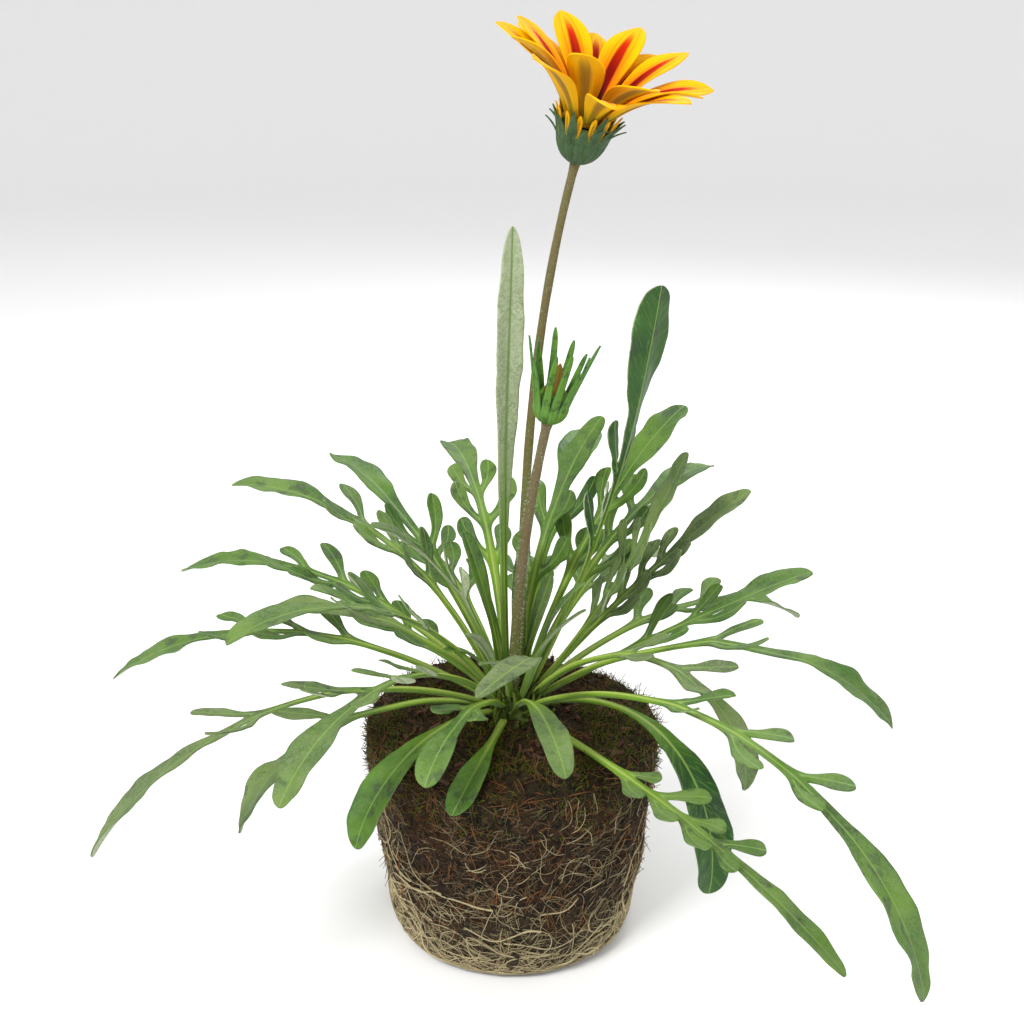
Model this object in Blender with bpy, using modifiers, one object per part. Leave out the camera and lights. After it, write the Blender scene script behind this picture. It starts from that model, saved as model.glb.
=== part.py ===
"""A gazania plant lifted out of its pot: soil ball, matted roots, crown, leaves, one open bloom and one bud.

Metres, +Z up. The origin is the centre of the flat base that the soil ball stands on.
A leaf's azimuth is counted from +X towards +Y, and -Y is the side that faces the viewer.
"""

import math
import random
from collections import namedtuple

import bmesh
import bpy
from mathutils import Matrix, Vector

MM = 0.001

# Soil ball: the shape that a 12 cm pot leaves behind
BALL_BASE_RADIUS = 40.0 * MM
BALL_FOOT_RADIUS = 46.5 * MM
BALL_FOOT_HEIGHT = 9.0 * MM
BALL_RIM_RADIUS = 55.0 * MM
BALL_RIM_HEIGHT = 79.0 * MM
SOIL_TOP = 84.0 * MM
BALL_SIDE_HEIGHTS = [78, 71, 62, 53, 44, 35, 26, 17, 9, 5, 2, 0]
BALL_STEPS = 36
BALL_RELIEF = 1.0 * MM
RELIEF_FADE_HEIGHT = 6.0 * MM
RIM_BAND = 4.0 * MM
RIM_WEAR = 1.6 * MM
TOP_RELIEF_SHARE = 0.9
CROWN_HOLE_RADIUS = 15.6 * MM
CROWN_HOLE_DEPTH = 42.0 * MM
CROWN_HOLE_MIDDLE = 84.6 * MM

# Crown: the short woody stem that every leaf and flower stalk grows from
CROWN_RADIUS = 15.0 * MM
CROWN_CENTRE = Vector((0.0, 0.0, 79.0 * MM))
LEAF_START_GAP = 0.8 * MM
LOWEST_START_DEG = 34.0
START_PER_RISE = 0.5

# Leaves
PETIOLE_HALF_WIDTH = 1.45 * MM
WING_HALF_WIDTH = 1.9 * MM
LOBE_BASE = 4.4 * MM
LOBE_NECK_HALF_WIDTH = 1.25 * MM
LOBE_HALF_WIDTH = 2.7 * MM
LOBES_FROM = 0.30
LOBES_TO = 0.66
LOBE_SHORTEST = 7.0 * MM
LOBE_PER_BLADE = 1.7
LOBE_LEAN_DEG = 46.0
LOBE_LEAN_SPREAD_DEG = 8.0
LOBE_TURNS_BACK = 0.35
LOBE_CURL = 0.22
LEAF_FOLD_DEG = 16.0
LEAF_THICKEST = 2.4 * MM
LEAF_THINNEST = 0.7 * MM
DROOP_POWER = 1.3

# Roots on the outside of the soil
ROOT_RADIUS = 0.8 * MM
ROOT_CLEARANCE = 1.2 * MM
ROOT_SEED = 21
ROOT_RING_HEIGHT = 5.5 * MM
UPRIGHT_ROOTS = 10
UPRIGHT_FOOT = 4.6 * MM
UPRIGHT_TOPS = (52.0, 74.0)
CIRCLING_HEIGHTS = [8, 10, 12, 14, 16.5, 19, 21.5, 24.5, 27.5, 31, 35, 39, 44, 50, 57]
CIRCLING_WAVE = 1.3 * MM

# Flower stalks: azimuth, rise and droop in degrees, length in millimetres, as for a leaf
Scape = namedtuple("Scape", "azimuth rise droop sweep length radius")
BLOOM_SCAPE = Scape(0, 89.5, 14, 0, 188, 1.5)
BUD_SCAPE = Scape(275, 80, 4, 50, 110, 1.7)
SCAPE_START_GAP = 0.6 * MM

# Open bloom
CUP_HEIGHT = 13.0 * MM
CUP_PROFILE = [
    (0.0, 13.0), (8.2, 13.0), (9.0, 12.4), (8.4, 9.0), (7.3, 5.0), (5.2, 1.6), (3.0, 0.2), (0.0, 0.0),
]
BRACT_COUNT = 14
BRACT_LENGTH = 8.0 * MM
BRACT_HALF_WIDTH = 1.4 * MM
BRACT_START_RADIUS = 8.0 * MM
BRACT_START_HEIGHT = 10.0 * MM
BRACT_RISE_DEG = 66.0
BRACT_OUTLINE = [(0.0, 1.0), (0.5, 0.9), (1.0, 0.25)]
BLADE_HOLLOW = 0.2
RAY_COUNT = 16
RAY_OUTLINE = [(0.0, 0.36), (0.22, 0.56), (0.46, 0.88), (0.66, 1.0), (0.84, 0.80), (0.95, 0.40), (1.0, 0.10)]
RAY_HOLLOW = 0.16
OUTER_RAY_HEIGHT = 1.0 * MM
INNER_RAY_HEIGHT = 1.9 * MM
RAY_LENGTH = 35.5 * MM
RAY_HALF_WIDTH = 5.9 * MM
RAY_START_RADIUS = 6.6 * MM
RAY_RISE_DEG = 62.0
RAY_FLATTENS_DEG = 52.0
INNER_RAY_STEEPER_DEG = 7.0
BLADE_THICKNESS = 0.7 * MM
HUB_RADIUS = 7.3 * MM
HUB_HEIGHT = 2.4 * MM
DISC_RADIUS = 4.9 * MM
DISC_HEIGHT = 2.6 * MM
DISC_SHAPE = [(0.0, 1.0), (0.5, 0.85), (0.85, 0.5), (1.0, 0.1)]
FLORET_COUNT = 34
FLORET_FOOT_RADIUS = 0.76 * MM
FLORET_TOP_RADIUS = 0.35 * MM
FLORET_LENGTH = 2.6 * MM
GOLDEN_ANGLE = math.pi * (3 - math.sqrt(5))
HEAD_NOD_DEG = 12.0
HEAD_GAP = 0.6 * MM
TOUCH_GAP = 0.3 * MM

# Bud
BUD_PROFILE = [(0, 21), (1.1, 19.5), (2.4, 15.5), (4, 11), (5.5, 7.5), (6, 5), (4.6, 1.6), (2.6, 0.2), (0, 0)]
BUD_BRACTS = 12
BUD_BRACT_LENGTH = 24.0 * MM
BUD_BRACT_HALF_WIDTH = 0.95 * MM
BUD_BRACT_OUTLINE = [(0.0, 1.4), (0.25, 1.25), (0.6, 1.0), (1.0, 0.35)]
BUD_BRACT_START_RADIUS = 4.3 * MM
BUD_BRACT_START_HEIGHT = 2.6 * MM
BUD_BRACT_RISE_DEG = 76.0
BUD_BRACT_SPREADS_DEG = (-6, 2, 10)

GREEN = (0.10, 0.26, 0.06)
DARK_GREEN = (0.05, 0.15, 0.05)
PALE_STALK = (0.28, 0.33, 0.12)
RED_STALK = (0.25, 0.14, 0.09)
CUP_GREEN = (0.12, 0.24, 0.12)
RAY_YELLOW = (0.95, 0.52, 0.02)
DISC_ORANGE = (0.62, 0.25, 0.03)
SOIL_BROWN = (0.045, 0.028, 0.018)
ROOT_CREAM = (0.55, 0.45, 0.28)

Leaf = namedtuple("Leaf", "azimuth rise droop sweep length blade pairs roll")

# Degrees for azimuth, rise above the horizon, droop along the leaf, sideways sweep and roll.
# Millimetres for length and for the half width of the end blade. pairs is the side lobes' count.
LEAVES = [
    Leaf(257, 2, 30, -14, 52, 5.4, 0, 0),
    Leaf(298, 60, 80, -75, 84, 5.0, 0, 0),
    Leaf(192, 14, 82, 20, 106, 10.0, 1, 15),
    Leaf(212, 30, 86, -4, 160, 8.5, 2, 20),
    Leaf(180, 50, 78, -6, 96, 9.5, 1, 0),
    Leaf(130, 8, 8, 10, 92, 7.0, 2, 0),
    Leaf(336, 24, 130, -50, 114, 8.0, 0, 0),
    Leaf(306, 2, 46, 24, 142, 4.4, 4, 0),
    Leaf(314, 33, 112, 6, 194, 7.0, 3, 0),
    Leaf(338, 52, 144, -22, 114, 6.5, 2, 0),
    Leaf(354, 37, 90, -6, 142, 8.0, 1, 0),
    Leaf(13, 24, 6, -4, 112, 7.5, 2, 0),
    Leaf(8, 65, -20, -3, 156, 9.5, 2, -60),
    Leaf(125, 86, -20, -30, 172, 5.0, 0, 90),
    Leaf(2, 52, -16, 14, 106, 6.0, 4, 0),
    Leaf(22, 43, 10, -6, 110, 6.0, 4, 0),
    Leaf(172, 28, 66, 6, 150, 7.5, 3, 0),
    Leaf(230, 46, 96, 6, 122, 7.0, 3, 10),
    Leaf(150, 34, 60, 8, 150, 7.5, 3, 0),
    Leaf(110, 28, 62, 5, 142, 7.5, 3, 0),
    Leaf(86, 20, 60, -6, 150, 7.5, 3, 0),
    Leaf(62, 28, 66, 4, 148, 7.5, 2, 0),
    Leaf(38, 20, 56, -4, 150, 7.0, 3, 0),
    Leaf(100, 56, 70, 6, 140, 7.0, 3, 0),
    Leaf(72, 60, 62, 0, 130, 8.5, 1, 0),
    Leaf(46, 52, 64, 6, 140, 7.0, 3, 0),
    Leaf(160, 64, 70, 8, 132, 7.0, 3, 0),
    Leaf(134, 56, 50, 0, 122, 9.0, 1, 20),
    Leaf(206, 60, 86, 4, 118, 6.5, 3, 0),
    Leaf(250, 38, 84, -6, 70, 6.0, 1, 0),
    Leaf(283, 40, 92, 8, 60, 5.5, 0, 0),
    Leaf(65, 76, 40, -20, 108, 5.5, 2, 0),
    Leaf(205, 78, 50, 0, 90, 5.5, 1, 0),
    Leaf(231, 18, 92, -8, 80, 7.5, 0, 0),
    Leaf(38, 66, 44, 8, 128, 7.0, 2, 0),
]


def plant_collection():
    found = bpy.data.collections.get("gazania")
    if found is None:
        found = bpy.data.collections.new("gazania")
        bpy.context.scene.collection.children.link(found)
    return found


def link(obj, collection=None):
    (collection or plant_collection()).objects.link(obj)
    return obj


def material(name, colour, roughness=0.6):
    found = bpy.data.materials.get(name)
    if found is None:
        found = bpy.data.materials.new(name)
        found.use_nodes = True
        shader = found.node_tree.nodes["Principled BSDF"]
        shader.inputs["Base Color"].default_value = (*colour, 1.0)
        shader.inputs["Roughness"].default_value = roughness
        shader.inputs["Metallic"].default_value = 0.0
    return found


def mesh_object(name, vertices, faces, collection=None):
    mesh = bpy.data.meshes.new(name)
    mesh.from_pydata([tuple(v) for v in vertices], [], faces)
    mesh.update()
    return link(bpy.data.objects.new(name, mesh), collection)


def frozen(obj, collection=None):
    """The object as a plain mesh, its modifiers applied and doubles welded; the original is removed."""
    bpy.context.view_layer.update()
    graph = bpy.context.evaluated_depsgraph_get()
    mesh = bpy.data.meshes.new_from_object(obj.evaluated_get(graph))
    mesh.transform(obj.matrix_world)
    name = obj.name
    bpy.data.objects.remove(obj)
    bm = bmesh.new()
    bm.from_mesh(mesh)
    bmesh.ops.remove_doubles(bm, verts=bm.verts, dist=0.01 * MM)
    bm.to_mesh(mesh)
    bm.free()
    made = bpy.data.objects.new(name, mesh)
    return link(made, collection)


def turned(name, profile, steps, collection=None):
    """A solid of revolution about Z from (radius, height) points that run down its outer side."""
    points = [(r, 0.0, z) for r, z in profile]
    edges = [(i, i + 1) for i in range(len(points) - 1)]
    mesh = bpy.data.meshes.new(name)
    mesh.from_pydata(points, edges, [])
    obj = link(bpy.data.objects.new(name, mesh), collection)
    screw = obj.modifiers.new("turn", "SCREW")
    screw.steps = steps
    screw.render_steps = steps
    screw.use_merge_vertices = True
    screw.merge_threshold = 0.01 * MM
    return frozen(obj, collection)


def tube(name, points, radius, resolution, collection=None, taper=None, cyclic=False):
    """A round stalk or root along the points, with filled ends."""
    curve = bpy.data.curves.new(name, "CURVE")
    curve.dimensions = "3D"
    curve.bevel_depth = radius
    curve.bevel_resolution = resolution
    curve.use_fill_caps = not cyclic
    spline = curve.splines.new("POLY")
    spline.points.add(len(points) - 1)
    spline.use_cyclic_u = cyclic
    for i, p in enumerate(points):
        spline.points[i].co = (*p, 1.0)
        spline.points[i].radius = taper(i / (len(points) - 1)) if taper else 1.0
    return link(bpy.data.objects.new(name, curve), collection)


def fused(base, pieces):
    """Join a collection's objects to the base with one Boolean union, then remove them."""
    union = base.modifiers.new("union", "BOOLEAN")
    union.operation = "UNION"
    union.operand_type = "COLLECTION"
    union.collection = pieces
    union.solver = "EXACT"
    joined = frozen(base, plant_collection())
    for obj in list(pieces.objects):
        bpy.data.objects.remove(obj)
    bpy.data.collections.remove(pieces)
    return joined


def pieces_collection(name):
    made = bpy.data.collections.new(name)
    bpy.context.scene.collection.children.link(made)
    return made


def soil_relief(angle, height):
    """Height of the soil's lumps above the smooth pot shape, zero at the flat base."""
    lumps = (
        math.sin(5 * angle + 90 * height)
        + math.sin(8 * angle - 140 * height + 1.3)
        + math.sin(3 * angle + 210 * height + 2.1)
    )
    fade = min(1.0, height / RELIEF_FADE_HEIGHT)
    return BALL_RELIEF * fade * lumps / 3


def ball_radius(height):
    """Radius of the pot-shaped side at a height."""
    if height < BALL_FOOT_HEIGHT:
        drop = 1 - height / BALL_FOOT_HEIGHT
        return BALL_BASE_RADIUS + (BALL_FOOT_RADIUS - BALL_BASE_RADIUS) * math.sqrt(1 - drop * drop)
    rise = (height - BALL_FOOT_HEIGHT) / (BALL_RIM_HEIGHT - BALL_FOOT_HEIGHT)
    return BALL_FOOT_RADIUS + (BALL_RIM_RADIUS - BALL_FOOT_RADIUS) * rise


def make_soil_ball():
    """The peat ball: pot-shaped side, rounded foot, crumbled rim and a plain hole for the crown."""
    profile = [(0.0, SOIL_TOP), (0.45 * BALL_RIM_RADIUS, SOIL_TOP)]
    profile += [(0.78 * BALL_RIM_RADIUS, SOIL_TOP - 0.6 * MM), (0.93 * BALL_RIM_RADIUS, SOIL_TOP - 2.0 * MM)]
    profile += [(ball_radius(h * MM), h * MM) for h in BALL_SIDE_HEIGHTS]
    profile += [(0.0, 0.0)]
    ball = turned("soil_ball", profile, BALL_STEPS)
    for vertex in ball.data.vertices:
        x, y, z = vertex.co
        out = math.hypot(x, y)
        if out < 1 * MM or z < 1 * MM:
            continue
        angle = math.atan2(y, x)
        lump = soil_relief(angle, z)
        if z > SOIL_TOP - RIM_BAND:
            wear = RIM_WEAR * (out / BALL_RIM_RADIUS) ** 4 * (1 + math.sin(2 * angle + 0.4))
            vertex.co.z += TOP_RELIEF_SHARE * lump - wear
        else:
            vertex.co.x += lump * x / out
            vertex.co.y += lump * y / out
    cutters = pieces_collection("cutters")
    bpy.ops.mesh.primitive_cylinder_add(
        vertices=20, radius=CROWN_HOLE_RADIUS, depth=CROWN_HOLE_DEPTH, location=(0, 0, CROWN_HOLE_MIDDLE)
    )
    cutter = bpy.context.object
    cutter.name = "crown_hole"
    for holder in list(cutter.users_collection):
        holder.objects.unlink(cutter)
    cutters.objects.link(cutter)
    cutter.hide_render = True
    cutter.display_type = "WIRE"
    cut = ball.modifiers.new("crown_hole", "BOOLEAN")
    cut.operation = "DIFFERENCE"
    cut.object = cutter
    ball.data.materials.append(material("soil", SOIL_BROWN, 0.95))


def make_crown():
    bpy.ops.mesh.primitive_uv_sphere_add(
        segments=16, ring_count=9, radius=CROWN_RADIUS, location=CROWN_CENTRE,
    )
    crown = bpy.context.object
    crown.name = "crown"
    for holder in list(crown.users_collection):
        holder.objects.unlink(crown)
    link(crown)
    crown.data.materials.append(material("crown", GREEN, 0.7))


def root_point(angle, height):
    """A point on the outside of the soil, lifted so that a root there stays clear of it."""
    out = ball_radius(height) + soil_relief(angle, height) + ROOT_CLEARANCE + ROOT_RADIUS
    return Vector((out * math.cos(angle), out * math.sin(angle), height))


def make_root_net():
    """Pale roots matted round the ball: upright ones, circling ones across them, and a ring at the foot."""
    draw = random.Random(ROOT_SEED)
    strands = pieces_collection("root_strands")
    ring = [root_point(2 * math.pi * i / BALL_STEPS, ROOT_RING_HEIGHT) for i in range(BALL_STEPS)]
    base = frozen(tube("root_net", ring, ROOT_RADIUS * 1.1, 0, cyclic=True))
    for k in range(UPRIGHT_ROOTS):
        angle = 2 * math.pi * (k + draw.uniform(-0.2, 0.2)) / UPRIGHT_ROOTS
        top = draw.uniform(*UPRIGHT_TOPS) * MM
        lean = draw.uniform(-0.5, 0.5)
        phase = draw.uniform(0, 6.3)
        count = 7
        points = []
        for i in range(count):
            share = i / (count - 1)
            height = UPRIGHT_FOOT + (top - UPRIGHT_FOOT) * share
            points.append(root_point(angle + lean * share + 0.06 * math.sin(phase + 5 * share), height))
        strand = tube(f"upright_{k}", points, ROOT_RADIUS * 1.15, 0, strands, taper=lambda s: 1.1 - 0.5 * s)
        frozen(strand, strands)
    for k, base_height in enumerate(CIRCLING_HEIGHTS):
        start = draw.uniform(0, 2 * math.pi)
        span = draw.uniform(1.3, 2.2)
        climb = draw.uniform(-4, 5) * MM
        phase = draw.uniform(0, 6.3)
        count = 9
        points = []
        for i in range(count):
            share = i / (count - 1)
            height = base_height * MM + climb * share + CIRCLING_WAVE * math.sin(phase + 9 * share)
            points.append(root_point(start + span * share, height))
        strand = tube(f"circling_{k}", points, ROOT_RADIUS, 0, strands, taper=lambda s: 1.0 - 0.45 * s)
        frozen(strand, strands)
    net = fused(base, strands)
    net.data.materials.append(material("root", ROOT_CREAM, 0.8))


def midrib(leaf, shares):
    """Points and frames along a leaf: (place, forward, sideways, upwards) for each share of its length."""
    start = math.radians(LOWEST_START_DEG + START_PER_RISE * max(leaf.rise, 0.0))
    facing = math.radians(leaf.azimuth)
    out = Vector((math.cos(start) * math.cos(facing), math.cos(start) * math.sin(facing), math.sin(start)))
    place = CROWN_CENTRE + out * (CROWN_RADIUS + LEAF_START_GAP)
    length = leaf.length * MM
    steps = 60
    places = [place]
    frames = []
    for i in range(steps + 1):
        share = i / steps
        rise = math.radians(leaf.rise - leaf.droop * share**DROOP_POWER)
        turn = math.radians(leaf.azimuth + leaf.sweep * share)
        forward = Vector((math.cos(rise) * math.cos(turn), math.cos(rise) * math.sin(turn), math.sin(rise)))
        level = Vector((-math.sin(turn), math.cos(turn), 0.0))
        roll = Matrix.Rotation(math.radians(leaf.roll) * share, 3, forward)
        sideways = roll @ level
        frames.append((forward, sideways, forward.cross(sideways)))
        if i < steps:
            place = place + forward * (length / steps)
            places.append(place)
    made = []
    for share in shares:
        i = min(int(share * steps), steps - 1)
        rest = share * steps - i
        made.append((places[i].lerp(places[i + 1], rest), *frames[i]))
    return made


def half_width(leaf, share):
    """Half the leaf's width at a share of its length: stalk, wings between the lobes, then the end blade."""
    blade = leaf.blade * MM
    narrow = WING_HALF_WIDTH if leaf.pairs else PETIOLE_HALF_WIDTH
    swell_from, widest = (0.64, 0.83) if leaf.pairs else (0.28, 0.74)
    if share < swell_from:
        return PETIOLE_HALF_WIDTH + (narrow - PETIOLE_HALF_WIDTH) * share / swell_from
    if share < widest:
        t = (share - swell_from) / (widest - swell_from)
        return narrow + (blade - narrow) * t * t * (3 - 2 * t)
    t = (share - widest) / (1 - widest)
    return blade * math.sqrt(max(0.0, 1 - t**2.4))


def leaf_shares(leaf):
    """Stations along the leaf, and the index of the station where each pair of side lobes starts."""
    if not leaf.pairs:
        return [0, 0.06, 0.16, 0.28, 0.40, 0.52, 0.63, 0.74, 0.84, 0.93], []
    shares = [0, 0.06, 0.17]
    base = LOBE_BASE / (leaf.length * MM)
    starts = []
    for k in range(leaf.pairs):
        at = LOBES_FROM + (LOBES_TO - LOBES_FROM) * (k + 0.5) / leaf.pairs
        starts.append(len(shares))
        shares += [at - base / 2, at + base / 2]
    return shares + [0.71, 0.77, 0.83, 0.90, 0.96], starts


def leaf_thickness(share, middle):
    """Weight from 0, the thinnest, to 1, the thickest: a stout stalk that thins into the blade."""
    stalk = max(0.0, 1 - max(0.0, share - 0.1) / 0.55)
    root = min(1.0, 0.35 + share / 0.06)
    return (0.25 + 0.75 * stalk) * root if middle else 0.5 * stalk * root


def leaf_sheet(leaf):
    """Vertices, faces and thickness weights of the leaf's mid surface, lobes included."""
    shares, starts = leaf_shares(leaf)
    stations = midrib(leaf, shares)
    fold = math.radians(LEAF_FOLD_DEG)
    vertices, faces, weights = [], [], []
    for share, (place, _, sideways, up) in zip(shares, stations):
        w = half_width(leaf, share)
        for side in (-1, 0, 1):
            lift = abs(side) * math.sin(fold) * w
            vertices.append(place + side * math.cos(fold) * w * sideways + lift * up)
            weights.append(leaf_thickness(share, side == 0))
    for i in range(len(shares) - 1):
        for column in (0, 1):
            a = 3 * i + column
            faces.append((a, a + 3, a + 4, a + 1))
    last = 3 * (len(shares) - 1)
    tip = len(vertices)
    vertices.append(midrib(leaf, [1.0])[0][0])
    weights.append(0.0)
    faces += [(last, tip, last + 1), (last + 1, tip, last + 2)]
    for k, start in enumerate(starts):
        for side in (-1, 1):
            add_lobe(leaf, stations, vertices, faces, weights, start, side, k)
    return vertices, faces, weights


def add_lobe(leaf, stations, vertices, faces, weights, start, side, order):
    """One side lobe: a narrow neck that widens to a rounded end, grown from the rachis edge."""
    near = 3 * start + (0 if side < 0 else 2)
    far = near + 3
    _, forward, sideways, up = stations[start]
    base = (vertices[near] + vertices[far]) / 2
    size = 0.62 + 0.38 * math.sin(math.pi * (order + 1) / (leaf.pairs + 1))
    wobble = math.sin(2.7 * order + leaf.azimuth + side)
    length = (LOBE_SHORTEST + LOBE_PER_BLADE * leaf.blade * MM) * (size + 0.16 * wobble)
    rows = [(0.36, LOBE_NECK_HALF_WIDTH), (0.70, LOBE_HALF_WIDTH), (0.92, LOBE_HALF_WIDTH * 0.72)]
    before = (near, far)
    lean = math.radians(LOBE_LEAN_DEG + LOBE_LEAN_SPREAD_DEG * wobble)
    for share, width in rows:
        turn = lean - LOBE_TURNS_BACK * share
        along = math.cos(turn) * forward + side * math.sin(turn) * sideways
        across = math.sin(turn) * forward - side * math.cos(turn) * sideways
        centre = base + along * length * share + up * length * LOBE_CURL * share * share
        row = (len(vertices), len(vertices) + 1)
        vertices += [centre - across * width, centre + across * width]
        weights += [0.0, 0.0]
        faces.append(lobe_face(before, row, side))
        before = row
    turn = lean - LOBE_TURNS_BACK
    along = math.cos(turn) * forward + side * math.sin(turn) * sideways
    tip = len(vertices)
    vertices.append(base + along * length + up * length * LOBE_CURL)
    weights.append(0.0)
    faces.append((before[0], tip, before[1]) if side < 0 else (before[1], tip, before[0]))


def lobe_face(before, row, side):
    """A quad between two rows of a lobe, wound like the rachis faces."""
    if side < 0:
        return (before[1], before[0], row[0], row[1])
    return (before[0], before[1], row[1], row[0])


def make_leaf(number, leaf):
    vertices, faces, weights = leaf_sheet(leaf)
    obj = mesh_object(f"leaf_{number:02d}", vertices, faces)
    group = obj.vertex_groups.new(name="thickness")
    for i, weight in enumerate(weights):
        group.add([i], weight, "REPLACE")
    split = obj.modifiers.new("triangles", "TRIANGULATE")
    split.quad_method = "FIXED"
    wall = obj.modifiers.new("wall", "SOLIDIFY")
    wall.thickness = LEAF_THICKEST
    wall.offset = 0.0
    wall.vertex_group = "thickness"
    wall.thickness_vertex_group = LEAF_THINNEST / LEAF_THICKEST
    obj.data.materials.append(material("leaf", DARK_GREEN, 0.5))
    return obj


def scape_line(scape, count):
    """Points from the crown to the head, and the direction in which the stalk ends."""
    start = math.radians(LOWEST_START_DEG + START_PER_RISE * scape.rise)
    facing = math.radians(scape.azimuth)
    out = Vector((math.cos(start) * math.cos(facing), math.cos(start) * math.sin(facing), math.sin(start)))
    place = CROWN_CENTRE + out * (CROWN_RADIUS + SCAPE_START_GAP)
    points = [place]
    for i in range(count - 1):
        share = (i + 0.5) / (count - 1)
        rise = math.radians(scape.rise - scape.droop * share * share)
        turn = math.radians(scape.azimuth + scape.sweep * share)
        forward = Vector((math.cos(rise) * math.cos(turn), math.cos(rise) * math.sin(turn), math.sin(rise)))
        place = place + forward * (scape.length * MM / (count - 1))
        points.append(place)
    return points, forward


def make_scape(name, scape, colour):
    points, forward = scape_line(scape, 12)
    stalk = tube(name, points, scape.radius * MM, 2, taper=lambda s: 1.15 - 0.25 * s)
    stalk.data.materials.append(material(name, colour, 0.6))
    return points[-1], forward


def head_matrix(place, forward, nod):
    """Sets a head that is modelled upright at the origin on its stalk's end, nodding towards the viewer."""
    nodding = Matrix.Rotation(math.radians(nod), 3, "X") @ forward
    turn = nodding.to_track_quat("Z", "Y").to_matrix().to_4x4()
    return Matrix.Translation(place + forward * HEAD_GAP) @ turn


def blade(name, places, sideways, ups, widths, hollow, collection):
    """A thin blade along the places, hollow side up, as a closed solid."""
    vertices, faces = [], []
    for place, up, width in zip(places, ups, widths):
        for side in (-1, 0, 1):
            vertices.append(place + side * width * sideways + abs(side) * hollow * width * up)
    for i in range(len(places) - 1):
        for column in (0, 1):
            a = 3 * i + column
            faces.append((a, a + 3, a + 4, a + 1))
    obj = mesh_object(name, vertices, faces, collection)
    split = obj.modifiers.new("triangles", "TRIANGULATE")
    split.quad_method = "FIXED"
    wall = obj.modifiers.new("wall", "SOLIDIFY")
    wall.thickness = BLADE_THICKNESS
    wall.offset = 0.0
    return frozen(obj, collection)


def bowed_blade(name, angle, start_radius, start_height, rise, flattens, length, shape, hollow, collection):
    """A petal or bract that leaves the axis at an angle, rises, and flattens towards its tip."""
    outward = Vector((math.cos(angle), math.sin(angle), 0.0))
    sideways = Vector((-math.sin(angle), math.cos(angle), 0.0))
    place = outward * start_radius + Vector((0.0, 0.0, start_height))
    places, ups = [place], []
    for here, after in zip(shape, shape[1:] + shape[-1:]):
        tilt = math.radians(rise - flattens * here[0])
        ups.append(Vector((0, 0, 1)) * math.cos(tilt) - outward * math.sin(tilt))
        between = math.radians(rise - flattens * (here[0] + after[0]) / 2)
        forward = math.cos(between) * outward + math.sin(between) * Vector((0, 0, 1))
        places.append(places[-1] + forward * length * (after[0] - here[0]))
    widths = [w for _, w in shape]
    return blade(name, places[:-1], sideways, ups, widths, hollow, collection)


def scaled(outline, half_width):
    return [(share, width * half_width) for share, width in outline]


def make_bloom(place, forward):
    """The open head: green cup with free bract tips, a hub with two rows of rays, and the disc of florets."""
    upright = head_matrix(place, forward, HEAD_NOD_DEG)
    make_cup(upright)
    make_rays(upright)
    make_disc(upright)


def make_cup(upright):
    tips = pieces_collection("cup_bracts")
    shape = scaled(BRACT_OUTLINE, BRACT_HALF_WIDTH)
    for k in range(BRACT_COUNT):
        angle = 2 * math.pi * k / BRACT_COUNT
        share, spread = (1.0, 22) if k % 2 else (0.8, -2)
        bowed_blade(
            f"bract_{k}", angle, BRACT_START_RADIUS, BRACT_START_HEIGHT, BRACT_RISE_DEG, spread,
            BRACT_LENGTH * share, shape, BLADE_HOLLOW, tips,
        )
    cup = turned("bloom_cup", [(r * MM, z * MM) for r, z in CUP_PROFILE], 20, pieces_collection("cup_base"))
    cup = fused(cup, tips)
    cup.data.transform(upright)
    cup.data.materials.append(material("cup", CUP_GREEN, 0.6))


def make_rays(upright):
    rays = pieces_collection("rays")
    floor = CUP_HEIGHT + TOUCH_GAP
    shape = scaled(RAY_OUTLINE, RAY_HALF_WIDTH)
    for k in range(RAY_COUNT):
        angle = 2 * math.pi * k / RAY_COUNT
        inner = k % 2
        wobble = math.sin(2.3 * k)
        length = RAY_LENGTH * (0.97 + 0.05 * wobble)
        rise = RAY_RISE_DEG + INNER_RAY_STEEPER_DEG * inner + 2 * wobble
        height = floor + (INNER_RAY_HEIGHT if inner else OUTER_RAY_HEIGHT)
        radius = RAY_START_RADIUS - (TOUCH_GAP if inner else 0.0)
        bowed_blade(
            f"ray_{k}", angle, radius, height, rise, RAY_FLATTENS_DEG, length, shape, RAY_HOLLOW, rays,
        )
    top = floor + HUB_HEIGHT
    hub_profile = [(0.0, top), (HUB_RADIUS, top), (HUB_RADIUS, floor), (0.0, floor)]
    hub = turned("bloom_rays", hub_profile, 16, pieces_collection("hub"))
    flower = fused(hub, rays)
    flower.data.transform(upright)
    flower.data.materials.append(material("ray", RAY_YELLOW, 0.45))


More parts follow.
